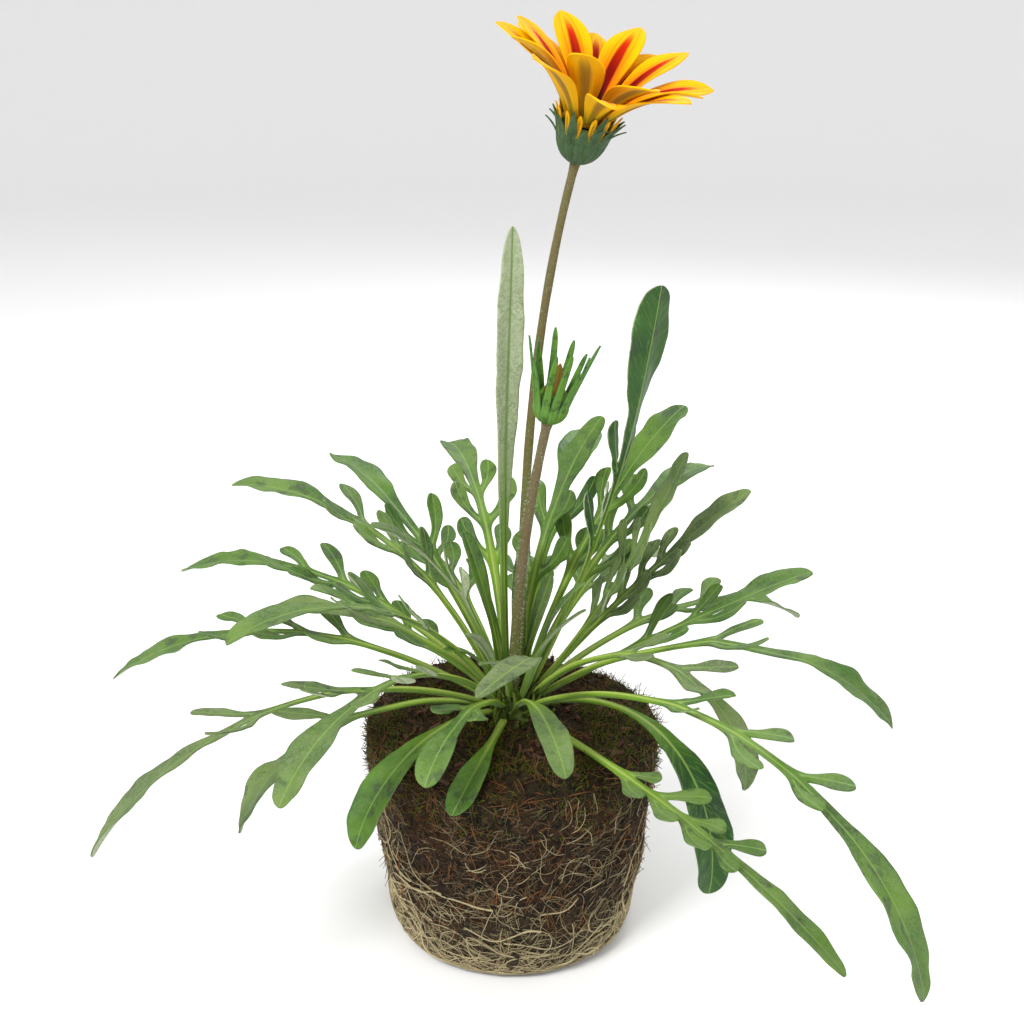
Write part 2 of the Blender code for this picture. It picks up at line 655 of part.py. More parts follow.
def make_disc(upright):
    florets = pieces_collection("florets")
    base = CUP_HEIGHT + TOUCH_GAP + HUB_HEIGHT + TOUCH_GAP
    for k in range(FLORET_COUNT):
        out = 0.93 * DISC_RADIUS * math.sqrt((k + 0.5) / FLORET_COUNT)
        top = base + DISC_HEIGHT * (1 - 0.75 * (out / DISC_RADIUS) ** 2)
        turn = k * GOLDEN_ANGLE
        bpy.ops.mesh.primitive_cone_add(
            vertices=4, radius1=FLORET_FOOT_RADIUS, radius2=FLORET_TOP_RADIUS, depth=FLORET_LENGTH,
            location=(out * math.cos(turn), out * math.sin(turn), top + 0.5 * MM), rotation=(0, 0, k),
        )
        floret = bpy.context.object
        for holder in list(floret.users_collection):
            holder.objects.unlink(floret)
        florets.objects.link(floret)
    dome_profile = [(r * DISC_RADIUS, base + z * DISC_HEIGHT) for r, z in DISC_SHAPE]
    dome_profile += [(DISC_RADIUS, base), (0.0, base)]
    dome = turned("bloom_disc", dome_profile, 14, pieces_collection("dome"))
    disc = fused(dome, florets)
    disc.data.transform(upright)
    disc.data.materials.append(material("disc", DISC_ORANGE, 0.8))


def make_bud(place, forward):
    """The closed bud: a pointed green body inside a crown of long narrow bracts."""
    upright = head_matrix(place, forward, 0)
    tips = pieces_collection("bud_bracts")
    shape = scaled(BUD_BRACT_OUTLINE, BUD_BRACT_HALF_WIDTH)
    for k in range(BUD_BRACTS):
        angle = 2 * math.pi * (k + 0.5) / BUD_BRACTS
        long = BUD_BRACT_LENGTH * (1.0 + 0.13 * math.sin(2.1 * k))
        spread = BUD_BRACT_SPREADS_DEG[k % len(BUD_BRACT_SPREADS_DEG)]
        bowed_blade(
            f"bud_bract_{k}", angle, BUD_BRACT_START_RADIUS, BUD_BRACT_START_HEIGHT, BUD_BRACT_RISE_DEG,
            spread, long, shape, BLADE_HOLLOW, tips,
        )
    body = turned("bud_head", [(r * MM, z * MM) for r, z in BUD_PROFILE], 14, pieces_collection("bud_body"))
    head = fused(body, tips)
    head.data.transform(upright)
    head.data.materials.append(material("bud", CUP_GREEN, 0.6))


def clear_scene():
    for obj in list(bpy.data.objects):
        bpy.data.objects.remove(obj)


def main():
    clear_scene()
    make_soil_ball()
    make_root_net()
    make_crown()
    for number, leaf in enumerate(LEAVES, start=1):
        make_leaf(number, leaf)
    make_bloom(*make_scape("bloom_scape", BLOOM_SCAPE, PALE_STALK))
    make_bud(*make_scape("bud_scape", BUD_SCAPE, RED_STALK))


main()
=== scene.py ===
"""The looks of a flowering gazania that has been lifted out of its pot.

Metres, +Z up, the origin under the middle of the root ball, -Y towards the viewer. Every main piece replaces
the plain solid of the same part of the plant: 35 leaves, the bloom, the bud, their stalks, the crown, the
peat and the stout roots. Added to them are nine young leaves in the heart of the rosette, fine roots, moss,
peat fibres, bark crumbs and hairs.
"""

import math
from collections import namedtuple

import bmesh
import bpy
import numpy as np
from mathutils import Euler, Matrix, Vector, noise


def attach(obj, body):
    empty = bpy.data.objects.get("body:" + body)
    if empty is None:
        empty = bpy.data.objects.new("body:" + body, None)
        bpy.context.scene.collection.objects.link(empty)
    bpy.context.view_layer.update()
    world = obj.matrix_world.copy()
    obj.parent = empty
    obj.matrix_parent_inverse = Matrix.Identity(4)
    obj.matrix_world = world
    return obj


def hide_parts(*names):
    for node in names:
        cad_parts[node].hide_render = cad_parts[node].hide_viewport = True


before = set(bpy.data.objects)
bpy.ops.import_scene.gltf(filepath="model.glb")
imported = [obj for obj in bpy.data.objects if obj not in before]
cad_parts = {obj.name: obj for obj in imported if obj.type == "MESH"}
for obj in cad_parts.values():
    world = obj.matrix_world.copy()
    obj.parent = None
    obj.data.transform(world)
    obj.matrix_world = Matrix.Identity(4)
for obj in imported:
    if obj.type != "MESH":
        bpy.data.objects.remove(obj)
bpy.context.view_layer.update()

MM = 0.001
UP = Vector((0.0, 0.0, 1.0))
BODY = "root"

# Root ball and crown
BALL_BASE_RADIUS = 40.0 * MM
BALL_FOOT_RADIUS = 46.5 * MM
BALL_FOOT_HEIGHT = 9.0 * MM
BALL_RIM_RADIUS = 55.0 * MM
BALL_RIM_HEIGHT = 79.0 * MM
SOIL_TOP = 84.0 * MM
BALL_RELIEF = 1.0 * MM
SHOULDER_HEIGHT = 70.0 * MM
WORN_RIM = 0.975
RIM_SHRINK = 1.5 * MM
CROWN_RADIUS = 15.0 * MM
CROWN_CENTRE = Vector((0.0, 0.0, 79.0 * MM))

# Leaves
LEAF_START_GAP = 0.8 * MM
LOWEST_START_DEG = 34.0
START_PER_RISE = 0.5
PETIOLE_HALF_WIDTH = 1.45 * MM
WING_HALF_WIDTH = 1.9 * MM
LOBE_BASE = 4.4 * MM
LEAF_THICKEST = 2.4 * MM
LEAF_THINNEST = 0.5 * MM
DROOP_POWER = 1.3
FOLD_DEG = 16.0
RUFFLE = 0.9 * MM
LEAF_COLUMNS = (-1.0, -0.45, 0.0, 0.45, 1.0)
UV_ACROSS = 10.0
UV_ALONG = 4.0

# Stalks
SCAPE_START_GAP = 0.6 * MM
HEAD_GAP = 0.6 * MM
HEAD_NOD_DEG = 12.0
STALK_POINTS = 90
STALK_SIDES = 14
STALK_HAIRS = 1500
# Few points, as in the plain stalk, so that each head stands where the plain one does
HEAD_LINE_POINTS = 12

# Bloom
CUP_HEIGHT = 13.0 * MM
BRACT_COUNT = 14
SPUR_COUNT = 8
RAY_COUNT = 16
RAY_LENGTH = 35.5 * MM
RAY_HALF_WIDTH = 5.9 * MM
RAY_START_RADIUS = 6.6 * MM
RAY_RISE_DEG = 62.0
RAY_FLATTENS_DEG = 52.0
INNER_RAY_STEEPER_DEG = 7.0
FRONT_RAYS_LOWER_DEG = 9.0
RAY_THICKNESS = 0.45 * MM
HUB_HEIGHT = 2.4 * MM
DISC_RADIUS = 4.9 * MM
DISC_HEIGHT = 2.6 * MM
FLORET_COUNT = 89
TOUCH_GAP = 0.3 * MM
GOLDEN_ANGLE = math.pi * (3 - math.sqrt(5))

# Bud
BUD_BRACTS = 12
BUD_BRACT_LENGTH = 24.0 * MM
BUD_BRACT_RISE_DEG = 76.0
BUD_BRACT_SPREADS_DEG = (-6, 2, 10)

# Peat surface, roots, litter and crown
PEAT_STEPS_ROUND = 330
PEAT_TOP_ROWS = 60
PEAT_SIDE_ROWS = 150
PEAT_HOLLOW_RADIUS = 13.2 * MM
PEAT_HOLLOW_BOTTOM = 70.0 * MM
PEAT_TOP_EDGE = 0.955
PEAT_FOOT_DISH = 0.6 * MM
ROOT_STEP = 1.4 * MM
ROOT_LOWEST = 2.2 * MM
ROOT_HIGHEST = 77.0 * MM
MOSS_COUNT = 12500
MOSS_PATCHES = 75
MOSS_ON_SHOULDER = 0.20
# The rim at the front left, on the key lamp's side, where the moss tone is painted lighter: painted light
MOSS_PAINTED_LIGHT_ANGLE = math.radians(236)
FIBRE_COUNT = 5200
FIBRES_ON_TOP = 0.30
BARK_COUNT = 240
LEAF_BASE_COUNT = 210

# Camera, lamps, floor and wall, in metres, watts and degrees
CAMERA_PLACE = (0.0, -0.426, 0.321)
CAMERA_DOWN_DEG = 20.3
CAMERA_LENS_MM = 45.7
CAMERA_SENSOR_MM = 36.0
FLOOR_RADIUS = 2.4
FLOOR_CURVE = 1.4
FLOOR_BEND_STEPS = 12
WALL_HEIGHT = 2.0
FLOOR_GREY = 0.84
SKY_STRENGTH = 0.92
LIT_POINT = Vector((0.0, 0.0, 0.15))
Lamp = namedtuple("Lamp", "name place size power")
LAMPS = [
    Lamp("key", (-0.70, -0.80, 1.10), 0.5, 19.0),
    Lamp("fill", (0.95, -0.65, 0.6), 0.8, 4.0),
    Lamp("back", (0.35, 0.90, 0.9), 0.6, 6.0),
]

Leaf = namedtuple("Leaf", "azimuth rise droop sweep length blade pairs roll tone")
Scape = namedtuple("Scape", "azimuth rise droop sweep length radius")

BLOOM_SCAPE = Scape(0, 89.5, 14, 0, 188, 1.5)
BUD_SCAPE = Scape(275, 80, 4, 50, 110, 1.7)

# Degrees for azimuth, rise, droop, sweep and roll; millimetres for length and the end blade's half width.
# pairs is the side lobes' count. tone runs from 0, dark green, over 0.5, fresh green, to 1, grey green.
LEAVES = [
    Leaf(257, 2, 30, -14, 52, 5.4, 0, 0, 0.45),
    Leaf(298, 60, 80, -75, 84, 5.0, 0, 0, 0.95),
    Leaf(192, 14, 82, 20, 106, 10.0, 1, 15, 0.80),
    Leaf(212, 30, 86, -4, 160, 8.5, 2, 20, 0.90),
    Leaf(180, 50, 78, -6, 96, 9.5, 1, 0, 0.85),
    Leaf(130, 8, 8, 10, 92, 7.0, 2, 0, 0.50),
    Leaf(336, 24, 130, -50, 114, 8.0, 0, 0, 0.05),
    Leaf(306, 2, 46, 24, 142, 4.4, 4, 0, 0.65),
    Leaf(314, 33, 112, 6, 194, 7.0, 3, 0, 0.60),
    Leaf(338, 52, 144, -22, 114, 6.5, 2, 0, 0.90),
    Leaf(354, 37, 90, -6, 142, 8.0, 1, 0, 0.60),
    Leaf(13, 24, 6, -4, 112, 7.5, 2, 0, 0.55),
    Leaf(8, 65, -20, -3, 156, 9.5, 2, -60, 0.10),
    Leaf(125, 86, -20, -30, 172, 5.0, 0, 20, 0.75),
    Leaf(2, 52, -16, 14, 106, 6.0, 4, 0, 0.80),
    Leaf(22, 43, 10, -6, 110, 6.0, 4, 0, 0.85),
    Leaf(172, 28, 66, 6, 150, 7.5, 3, 0, 0.60),
    Leaf(230, 46, 96, 6, 122, 7.0, 3, 10, 0.75),
    Leaf(150, 34, 60, 8, 150, 7.5, 3, 0, 0.50),
    Leaf(110, 28, 62, 5, 142, 7.5, 3, 0, 0.55),
    Leaf(86, 20, 60, -6, 150, 7.5, 3, 0, 0.45),
    Leaf(62, 28, 66, 4, 148, 7.5, 2, 0, 0.70),
    Leaf(38, 20, 56, -4, 150, 7.0, 3, 0, 0.50),
    Leaf(100, 56, 70, 6, 140, 7.0, 3, 0, 0.60),
    Leaf(72, 60, 62, 0, 130, 8.5, 1, 0, 0.30),
    Leaf(46, 52, 64, 6, 140, 7.0, 3, 0, 0.55),
    Leaf(160, 64, 70, 8, 132, 7.0, 3, 0, 0.65),
    Leaf(134, 56, 50, 0, 122, 9.0, 1, 20, 0.35),
    Leaf(206, 60, 86, 4, 118, 6.5, 3, 0, 0.70),
    Leaf(250, 38, 84, -6, 70, 6.0, 1, 0, 0.60),
    Leaf(283, 40, 92, 8, 60, 5.5, 0, 0, 0.75),
    Leaf(65, 76, 40, -20, 108, 5.5, 2, 0, 0.55),
    Leaf(205, 78, 50, 0, 90, 5.5, 1, 0, 0.80),
    Leaf(231, 18, 92, -8, 80, 7.5, 0, 0, 0.40),
    Leaf(38, 66, 44, 8, 128, 7.0, 2, 0, 0.45),
]

# Leaves, counted from 1, whose underside faces the way that the others' upper side does
TURNED_OVER = (13, 14)

# Young leaves in the heart of the rosette
HEART_LEAVES = [
    Leaf(20, 82, 24, 30, 44, 2.8, 0, 15, 0.75),
    Leaf(75, 86, 14, -25, 58, 3.4, 0, -20, 0.55),
    Leaf(128, 80, 30, 20, 50, 3.0, 0, 25, 0.60),
    Leaf(172, 84, 20, -30, 62, 3.6, 0, -10, 0.50),
    Leaf(222, 76, 46, 25, 40, 2.8, 0, 10, 0.85),
    Leaf(262, 70, 60, -30, 36, 3.0, 0, 20, 0.70),
    Leaf(318, 74, 40, 35, 46, 3.2, 0, -15, 0.80),
    Leaf(345, 78, 34, -20, 54, 3.2, 0, 20, 0.65),
    Leaf(196, 72, 66, 30, 34, 2.6, 0, 0, 0.55),
]


# Short ways to build node trees


def node(tree, kind, inputs=None, **settings):
    """Add a node; inputs are sockets to link or values to set, by name or by number."""
    made = tree.nodes.new(kind)
    for key, value in settings.items():
        setattr(made, key, value)
    for key, value in (inputs or {}).items():
        if isinstance(value, bpy.types.NodeSocket):
            tree.links.new(value, made.inputs[key])
        else:
            made.inputs[key].default_value = value
    return made


def calc(tree, operation, a, b=0.0, clamp=False):
    """One step of node arithmetic on sockets or numbers; plus, minus, times and absolute call it."""
    return node(tree, "ShaderNodeMath", {0: a, 1: b}, operation=operation, use_clamp=clamp).outputs[0]


def plus(tree, a, b, clamp=False):
    return calc(tree, "ADD", a, b, clamp)


def minus(tree, a, b):
    return calc(tree, "SUBTRACT", a, b)


def times(tree, a, b):
    return calc(tree, "MULTIPLY", a, b)


def absolute(tree, a):
    return calc(tree, "ABSOLUTE", a)


def inverse(tree, mask):
    """0 where the mask is 1, and 1 where it is 0."""
    return minus(tree, 1.0, mask)


def smooth(tree, value, low, high):
    """0 below low, 1 above high, and a smooth step between them."""
    inputs = {"Value": value, "From Min": low, "From Max": high}
    return node(tree, "ShaderNodeMapRange", inputs, interpolation_type="SMOOTHSTEP").outputs["Result"]


def mixed(tree, factor, a, b, blend="MIX"):
    """Two colours mixed by a factor; colours are sockets or (red, green, blue)."""
    a = a if isinstance(a, bpy.types.NodeSocket) else (*a, 1.0)
    b = b if isinstance(b, bpy.types.NodeSocket) else (*b, 1.0)
    return node(tree, "ShaderNodeMix", {0: factor, 6: a, 7: b}, data_type="RGBA", blend_type=blend).outputs[2]


def noise_value(tree, vector, scale, detail, roughness, distortion=0.0):
    """A noise texture's value, about 0.3 to 0.7; scale is in waves a metre on the object's own place."""
    inputs = {
        "Vector": vector, "Scale": scale, "Detail": detail, "Roughness": roughness, "Distortion": distortion,
    }
    return node(tree, "ShaderNodeTexNoise", inputs).outputs["Fac"]


def attribute(tree, name):
    return node(tree, "ShaderNodeAttribute", attribute_name=name).outputs["Fac"]


def stretched(tree, vector, scale):
    return node(tree, "ShaderNodeMapping", {"Vector": vector, "Scale": scale}).outputs["Vector"]


def object_place(tree):
    return node(tree, "ShaderNodeTexCoord").outputs["Object"]


def leaf_place(tree):
    """The distance across and along the leaf in metres, read from its UV map."""
    uv = node(tree, "ShaderNodeUVMap", uv_map="leaf")
    parts = node(tree, "ShaderNodeSeparateXYZ", {0: uv.outputs[0]})
    across = calc(tree, "DIVIDE", minus(tree, parts.outputs[0], 0.5), UV_ACROSS)
    along = calc(tree, "DIVIDE", parts.outputs[1], UV_ALONG)
    return across, along


def new_group(name, inputs, outputs):
    """A shader node group whose inputs are (name, socket type, value) and outputs (name, socket type)."""
    tree = bpy.data.node_groups.new(name, "ShaderNodeTree")
    for label, kind, value in inputs:
        tree.interface.new_socket(label, in_out="INPUT", socket_type=kind).default_value = value
    for label, kind in outputs:
        tree.interface.new_socket(label, in_out="OUTPUT", socket_type=kind)
    return tree, tree.nodes.new("NodeGroupInput").outputs, tree.nodes.new("NodeGroupOutput").inputs


def use_group(tree, group, inputs):
    """Place a shared effect in a material, and give its outputs."""
    return node(tree, "ShaderNodeGroup", inputs, node_tree=group).outputs


def new_material(name, roughness=0.5, specular=0.4, subsurface=0.0, sheen=0.0):
    """A material with its Principled shader's constant values set on the shader itself."""
    made = bpy.data.materials.new(name)
    made.use_nodes = True
    shader = made.node_tree.nodes["Principled BSDF"]
    shader.inputs["Roughness"].default_value = roughness
    shader.inputs["Specular IOR Level"].default_value = specular
    shader.inputs["Subsurface Weight"].default_value = subsurface
    shader.inputs["Subsurface Radius"].default_value = (0.9, 1.0, 0.25)
    shader.inputs["Subsurface Scale"].default_value = 0.8 * MM
    shader.inputs["Sheen Weight"].default_value = sheen
    shader.inputs["Sheen Roughness"].default_value = 0.4
    return made, made.node_tree, shader


def bumped(tree, shader, height, strength, distance):
    inputs = {"Height": height, "Strength": strength, "Distance": distance}
    tree.links.new(node(tree, "ShaderNodeBump", inputs).outputs[0], shader.inputs["Normal"])


# Effects that several materials share


def felt_group():
    """Fine matted hairs: a cloudy mask and a fibrous height, from the object's own place."""
    tree, given, result = new_group(
        "felt",
        [("Density", "NodeSocketFloat", 0.5), ("Fibre Scale", "NodeSocketFloat", 900.0)],
        [("Mask", "NodeSocketFloat"), ("Height", "NodeSocketFloat")],
    )
    place = object_place(tree)
    cloud = noise_value(tree, place, 70.0, 5.0, 0.6)
    fibre = noise_value(tree, place, given["Fibre Scale"], 3.0, 0.7, 1.2)
    low = minus(tree, 0.95, given["Density"])
    mask = smooth(tree, cloud, minus(tree, low, 0.22), plus(tree, low, 0.12))
    speckle = times(tree, mask, smooth(tree, fibre, 0.30, 0.65))
    tree.links.new(speckle, result["Mask"])
    tree.links.new(fibre, result["Height"])
    return tree


def mottle_group():
    """Slow changes of shade over a living surface, with a few darker bruises."""
    tree, given, result = new_group(
        "mottle",
        [("Scale", "NodeSocketFloat", 45.0)],
        [("Shade", "NodeSocketFloat"), ("Bruise", "NodeSocketFloat"), ("Grain", "NodeSocketFloat")],
    )
    place = object_place(tree)
    shade = noise_value(tree, place, given["Scale"], 3.0, 0.5)
    bruise = noise_value(tree, place, times(tree, given["Scale"], 2.7), 2.0, 0.5)
    grain = noise_value(tree, place, times(tree, given["Scale"], 30.0), 2.0, 0.6)
    tree.links.new(smooth(tree, shade, 0.32, 0.68), result["Shade"])
    tree.links.new(smooth(tree, bruise, 0.55, 0.68), result["Bruise"])
    tree.links.new(grain, result["Grain"])
    return tree


def streak_group():
    """Lengthwise lines along a petal or bract, read from its UV map: across is U and along is V."""
    tree, given, result = new_group(
        "streak",
        [("Lines", "NodeSocketFloat", 40.0), ("Seed", "NodeSocketFloat", 0.0)],
        [("Line", "NodeSocketFloat"), ("Broad", "NodeSocketFloat")],
    )
    uv = node(tree, "ShaderNodeUVMap", uv_map="leaf").outputs[0]
    parts = node(tree, "ShaderNodeSeparateXYZ", {0: uv})
    across = times(tree, parts.outputs[0], given["Lines"])
    along = times(tree, parts.outputs[1], 1.6)
    place = node(tree, "ShaderNodeCombineXYZ", {0: across, 1: along, 2: given["Seed"]}).outputs[0]
    fine = noise_value(tree, place, 1.0, 3.0, 0.6)
    half = node(tree, "ShaderNodeVectorMath", {0: place, "Scale": 0.3}, operation="SCALE").outputs[0]
    broad = noise_value(tree, half, 1.0, 2.0, 0.5)
    tree.links.new(smooth(tree, fine, 0.3, 0.7), result["Line"])
    tree.links.new(smooth(tree, broad, 0.3, 0.7), result["Broad"])
    return tree


FELT = felt_group()
MOTTLE = mottle_group()
STREAK = streak_group()


# Materials of the leaves


def rib_mask(tree, narrow, wide):
    """The pale midrib: wide on the stalk, narrow at the tip."""
    across, _ = leaf_place(tree)
    pale = attribute(tree, "pale")
    stout = calc(tree, "POWER", pale, 1.6)
    half = plus(tree, times(tree, stout, wide - narrow), narrow)
    off = calc(tree, "DIVIDE", absolute(tree, across), half)
    return inverse(tree, smooth(tree, off, 0.35, 1.45)), pale


def leaf_veins(tree):
    """Side veins that run out and forwards from the midrib: 0 on a vein and larger between them."""
    across, along = leaf_place(tree)
    slant = minus(tree, along, times(tree, absolute(tree, across), 1.3))
    place = node(tree, "ShaderNodeCombineXYZ", {0: across, 1: slant, 2: attribute(tree, "tone")}).outputs[0]
    wave = noise_value(tree, stretched(tree, place, (110.0, 330.0, 9.0)), 1.0, 2.0, 0.5)
    return absolute(tree, minus(tree, wave, 0.5))


def leaf_top_material():
    """The upper side: green with a pale midrib, thin grey felt in places and darker bruises."""
    made, tree, shader = new_material("leaf_top", roughness=0.5, specular=0.22, subsurface=0.04)
    tone = attribute(tree, "tone")
    mottle = use_group(tree, MOTTLE, {"Scale": 55.0})
    felt = use_group(tree, FELT, {"Density": 0.52})
    fresh = mixed(tree, mottle["Shade"], (0.026, 0.098, 0.003), (0.082, 0.190, 0.006))
    dark = mixed(tree, mottle["Shade"], (0.008, 0.040, 0.008), (0.024, 0.086, 0.010))
    grey = mixed(tree, mottle["Shade"], (0.046, 0.092, 0.020), (0.130, 0.188, 0.050))
    green = mixed(tree, smooth(tree, tone, 0.05, 0.45), dark, fresh)
    green = mixed(tree, smooth(tree, tone, 0.45, 1.0), green, grey)
    green = mixed(tree, times(tree, mottle["Bruise"], 0.72), green, (0.014, 0.038, 0.012))
    down = times(tree, felt["Mask"], times(tree, tone, 0.62))
    green = mixed(tree, down, green, (0.205, 0.235, 0.135))
    veins = leaf_veins(tree)
    line = inverse(tree, smooth(tree, veins, 0.0, 0.035))
    green = mixed(tree, times(tree, line, 0.42), green, (0.110, 0.205, 0.035))
    rib, pale = rib_mask(tree, 0.24 * MM, 1.5 * MM)
    stalk = smooth(tree, pale, 0.35, 0.75)
    lime = mixed(tree, mottle["Shade"], (0.085, 0.195, 0.002), (0.160, 0.295, 0.004))
    green = mixed(tree, times(tree, stalk, 0.75), green, lime)
    rib_green = mixed(tree, stalk, (0.170, 0.280, 0.060), (0.330, 0.420, 0.090))
    green = mixed(tree, times(tree, rib, 0.80), green, rib_green)
    blush = times(tree, smooth(tree, pale, 0.70, 0.95), smooth(tree, mottle["Grain"], 0.45, 0.7))
    green = mixed(tree, times(tree, blush, 0.30), green, (0.120, 0.045, 0.020))
    edge = times(tree, smooth(tree, attribute(tree, "edge"), 0.92, 1.0), 0.30)
    green = mixed(tree, edge, green, (0.130, 0.220, 0.100))
    tree.links.new(green, shader.inputs["Base Color"])
    rough = plus(tree, 0.34, times(tree, tone, 0.26))
    rough = plus(tree, rough, times(tree, mottle["Grain"], 0.12))
    tree.links.new(rough, shader.inputs["Roughness"])
    height = plus(tree, times(tree, veins, 1.6), times(tree, felt["Height"], 0.3))
    height = plus(tree, height, times(tree, mottle["Shade"], 0.5))
    bumped(tree, shader, height, strength=0.7, distance=0.45 * MM)
    return made


def leaf_under_material():
    """The underside: whitish felt over grey green, with a green midrib and stalk."""
    made, tree, shader = new_material("leaf_under", roughness=0.8, specular=0.2, subsurface=0.04, sheen=0.12)
    mottle = use_group(tree, MOTTLE, {"Scale": 60.0})
    felt = use_group(tree, FELT, {"Density": 0.75})
    grey = mixed(tree, mottle["Shade"], (0.150, 0.205, 0.080), (0.255, 0.315, 0.165))
    grey = mixed(tree, felt["Mask"], grey, (0.370, 0.415, 0.270))
    rib, pale = rib_mask(tree, 0.40 * MM, 1.9 * MM)
    stalk = smooth(tree, pale, 0.35, 0.75)
    lime = mixed(tree, mottle["Shade"], (0.070, 0.165, 0.003), (0.130, 0.240, 0.005))
    grey = mixed(tree, times(tree, stalk, 0.70), grey, lime)
    rib_green = mixed(tree, stalk, (0.120, 0.210, 0.050), (0.110, 0.210, 0.012))
    colour = mixed(tree, times(tree, rib, 0.85), grey, rib_green)
    tree.links.new(colour, shader.inputs["Base Color"])
    height = plus(tree, times(tree, leaf_veins(tree), -1.2), felt["Height"])
    bumped(tree, shader, height, strength=0.6, distance=0.35 * MM)
    return made


# Materials of the bloom and the bud


def petal_place(tree):
    """Distance from the petal's middle line, 0 to 1 at its widest, and the share of its length."""
    uv = node(tree, "ShaderNodeUVMap", uv_map="leaf")
    parts = node(tree, "ShaderNodeSeparateXYZ", {0: uv.outputs[0]})
    off = times(tree, absolute(tree, minus(tree, parts.outputs[0], 0.5)), 2.0)
    return off, parts.outputs[1]


def ray_top_material():
    """A petal's face: yellow, orange towards its base, a red stripe and a near-black foot."""
    made, tree, shader = new_material("ray_top", roughness=0.55, specular=0.06)
    off, along = petal_place(tree)
    streak = use_group(tree, STREAK, {"Lines": 46.0, "Seed": 1.0})
    ragged = plus(tree, along, times(tree, minus(tree, streak["Line"], 0.5), 0.12))
    yellow = mixed(tree, streak["Line"], (0.900, 0.510, 0.000), (0.840, 0.400, 0.000))
    orange = mixed(tree, streak["Line"], (0.840, 0.215, 0.000), (0.740, 0.140, 0.000))
    outward = plus(tree, ragged, times(tree, off, 0.38))
    inner = inverse(tree, smooth(tree, outward, 0.50, 1.04))
    colour = mixed(tree, inner, yellow, orange)
    # Painted shade: the face is darkened to orange-red along its two pleat grooves
    pleat_shade = absolute(tree, minus(tree, off, 0.48))
    pleat_shade = inverse(tree, smooth(tree, pleat_shade, 0.0, 0.07))
    colour = mixed(tree, times(tree, pleat_shade, 0.55), colour, (0.620, 0.110, 0.000))
    taper = minus(tree, 0.60, times(tree, ragged, 0.46))
    stripe = inverse(tree, smooth(tree, calc(tree, "DIVIDE", off, taper), 0.60, 1.05))
    reach = inverse(tree, smooth(tree, ragged, 0.70, 0.92))
    red = mixed(tree, smooth(tree, ragged, 0.36, 0.80), (0.160, 0.002, 0.000), (0.560, 0.020, 0.000))
    colour = mixed(tree, times(tree, stripe, reach), colour, red)
    low = plus(tree, ragged, times(tree, off, 0.40))
    foot = inverse(tree, smooth(tree, low, 0.18, 0.38))
    colour = mixed(tree, foot, colour, (0.012, 0.004, 0.003))
    tree.links.new(colour, shader.inputs["Base Color"])
    bumped(tree, shader, streak["Line"], strength=0.5, distance=0.3 * MM)
    return made


def ray_under_material():
    """A petal's back: yellow with a dull purple-olive band along the middle."""
    made, tree, shader = new_material("ray_under", roughness=0.6, specular=0.08)
    off, along = petal_place(tree)
    streak = use_group(tree, STREAK, {"Lines": 46.0, "Seed": 4.0})
    yellow = mixed(tree, streak["Line"], (0.830, 0.440, 0.001), (0.700, 0.330, 0.001))
    olive = mixed(tree, streak["Broad"], (0.200, 0.140, 0.008), (0.210, 0.060, 0.025))
    band = inverse(tree, smooth(tree, off, 0.14, 0.50))
    band = times(tree, band, inverse(tree, smooth(tree, along, 0.60, 1.0)))
    colour = mixed(tree, times(tree, band, 0.80), yellow, olive)
    green = inverse(tree, smooth(tree, along, 0.05, 0.32))
    colour = mixed(tree, times(tree, green, 0.65), colour, (0.200, 0.190, 0.008))
    tree.links.new(colour, shader.inputs["Base Color"])
    bumped(tree, shader, streak["Line"], strength=0.5, distance=0.3 * MM)
    return made


def bract_material(name, fresh, blue, edge):
    """Bracts of the cup or the bud: a green keel, a blue-green bloom and margins of another green."""
    made, tree, shader = new_material(name, roughness=0.6, specular=0.18, subsurface=0.03)
    off, _ = petal_place(tree)
    mottle = use_group(tree, MOTTLE, {"Scale": 130.0})
    streak = use_group(tree, STREAK, {"Lines": 18.0, "Seed": 2.0})
    felt = use_group(tree, FELT, {"Density": 0.45, "Fibre Scale": 1400.0})
    colour = mixed(tree, streak["Broad"], fresh, blue)
    colour = mixed(tree, times(tree, smooth(tree, off, 0.60, 1.0), 0.65), colour, edge)
    colour = mixed(tree, times(tree, felt["Mask"], 0.28), colour, (0.150, 0.200, 0.135))
    colour = mixed(tree, times(tree, mottle["Bruise"], 0.55), colour, (0.016, 0.038, 0.012))
    tree.links.new(colour, shader.inputs["Base Color"])
    height = plus(tree, streak["Line"], times(tree, felt["Height"], 0.5))
    bumped(tree, shader, height, strength=0.5, distance=0.3 * MM)
    return made


def closed_petal_material():
    """The bud's furled petals: dull olive and red-brown, redder at the tip."""
    made, tree, shader = new_material("closed_petal", roughness=0.5, specular=0.15, subsurface=0.03)
    _, along = petal_place(tree)
    streak = use_group(tree, STREAK, {"Lines": 14.0, "Seed": 6.0})
    colour = mixed(tree, streak["Line"], (0.110, 0.110, 0.008), (0.220, 0.085, 0.015))
    colour = mixed(tree, smooth(tree, along, 0.7, 1.0), colour, (0.260, 0.060, 0.012))
    tree.links.new(colour, shader.inputs["Base Color"])
    bumped(tree, shader, streak["Line"], strength=0.5, distance=0.3 * MM)
    return made


def floret_material():
    """The disc's florets: dull brown buds in the middle, orange and pollen yellow outside."""
    made, tree, shader = new_material("floret", roughness=0.7, specular=0.25, subsurface=0.05)
    tone = attribute(tree, "tone")
    grain = use_group(tree, MOTTLE, {"Scale": 300.0})
    colour = mixed(tree, smooth(tree, tone, 0.25, 0.75), (0.060, 0.020, 0.004), (0.560, 0.170, 0.003))
    colour = mixed(tree, times(tree, grain["Grain"], 0.6), colour, (0.760, 0.330, 0.006))
    tree.links.new(colour, shader.inputs["Base Color"])
    bumped(tree, shader, grain["Grain"], strength=0.6, distance=0.2 * MM)
    return made


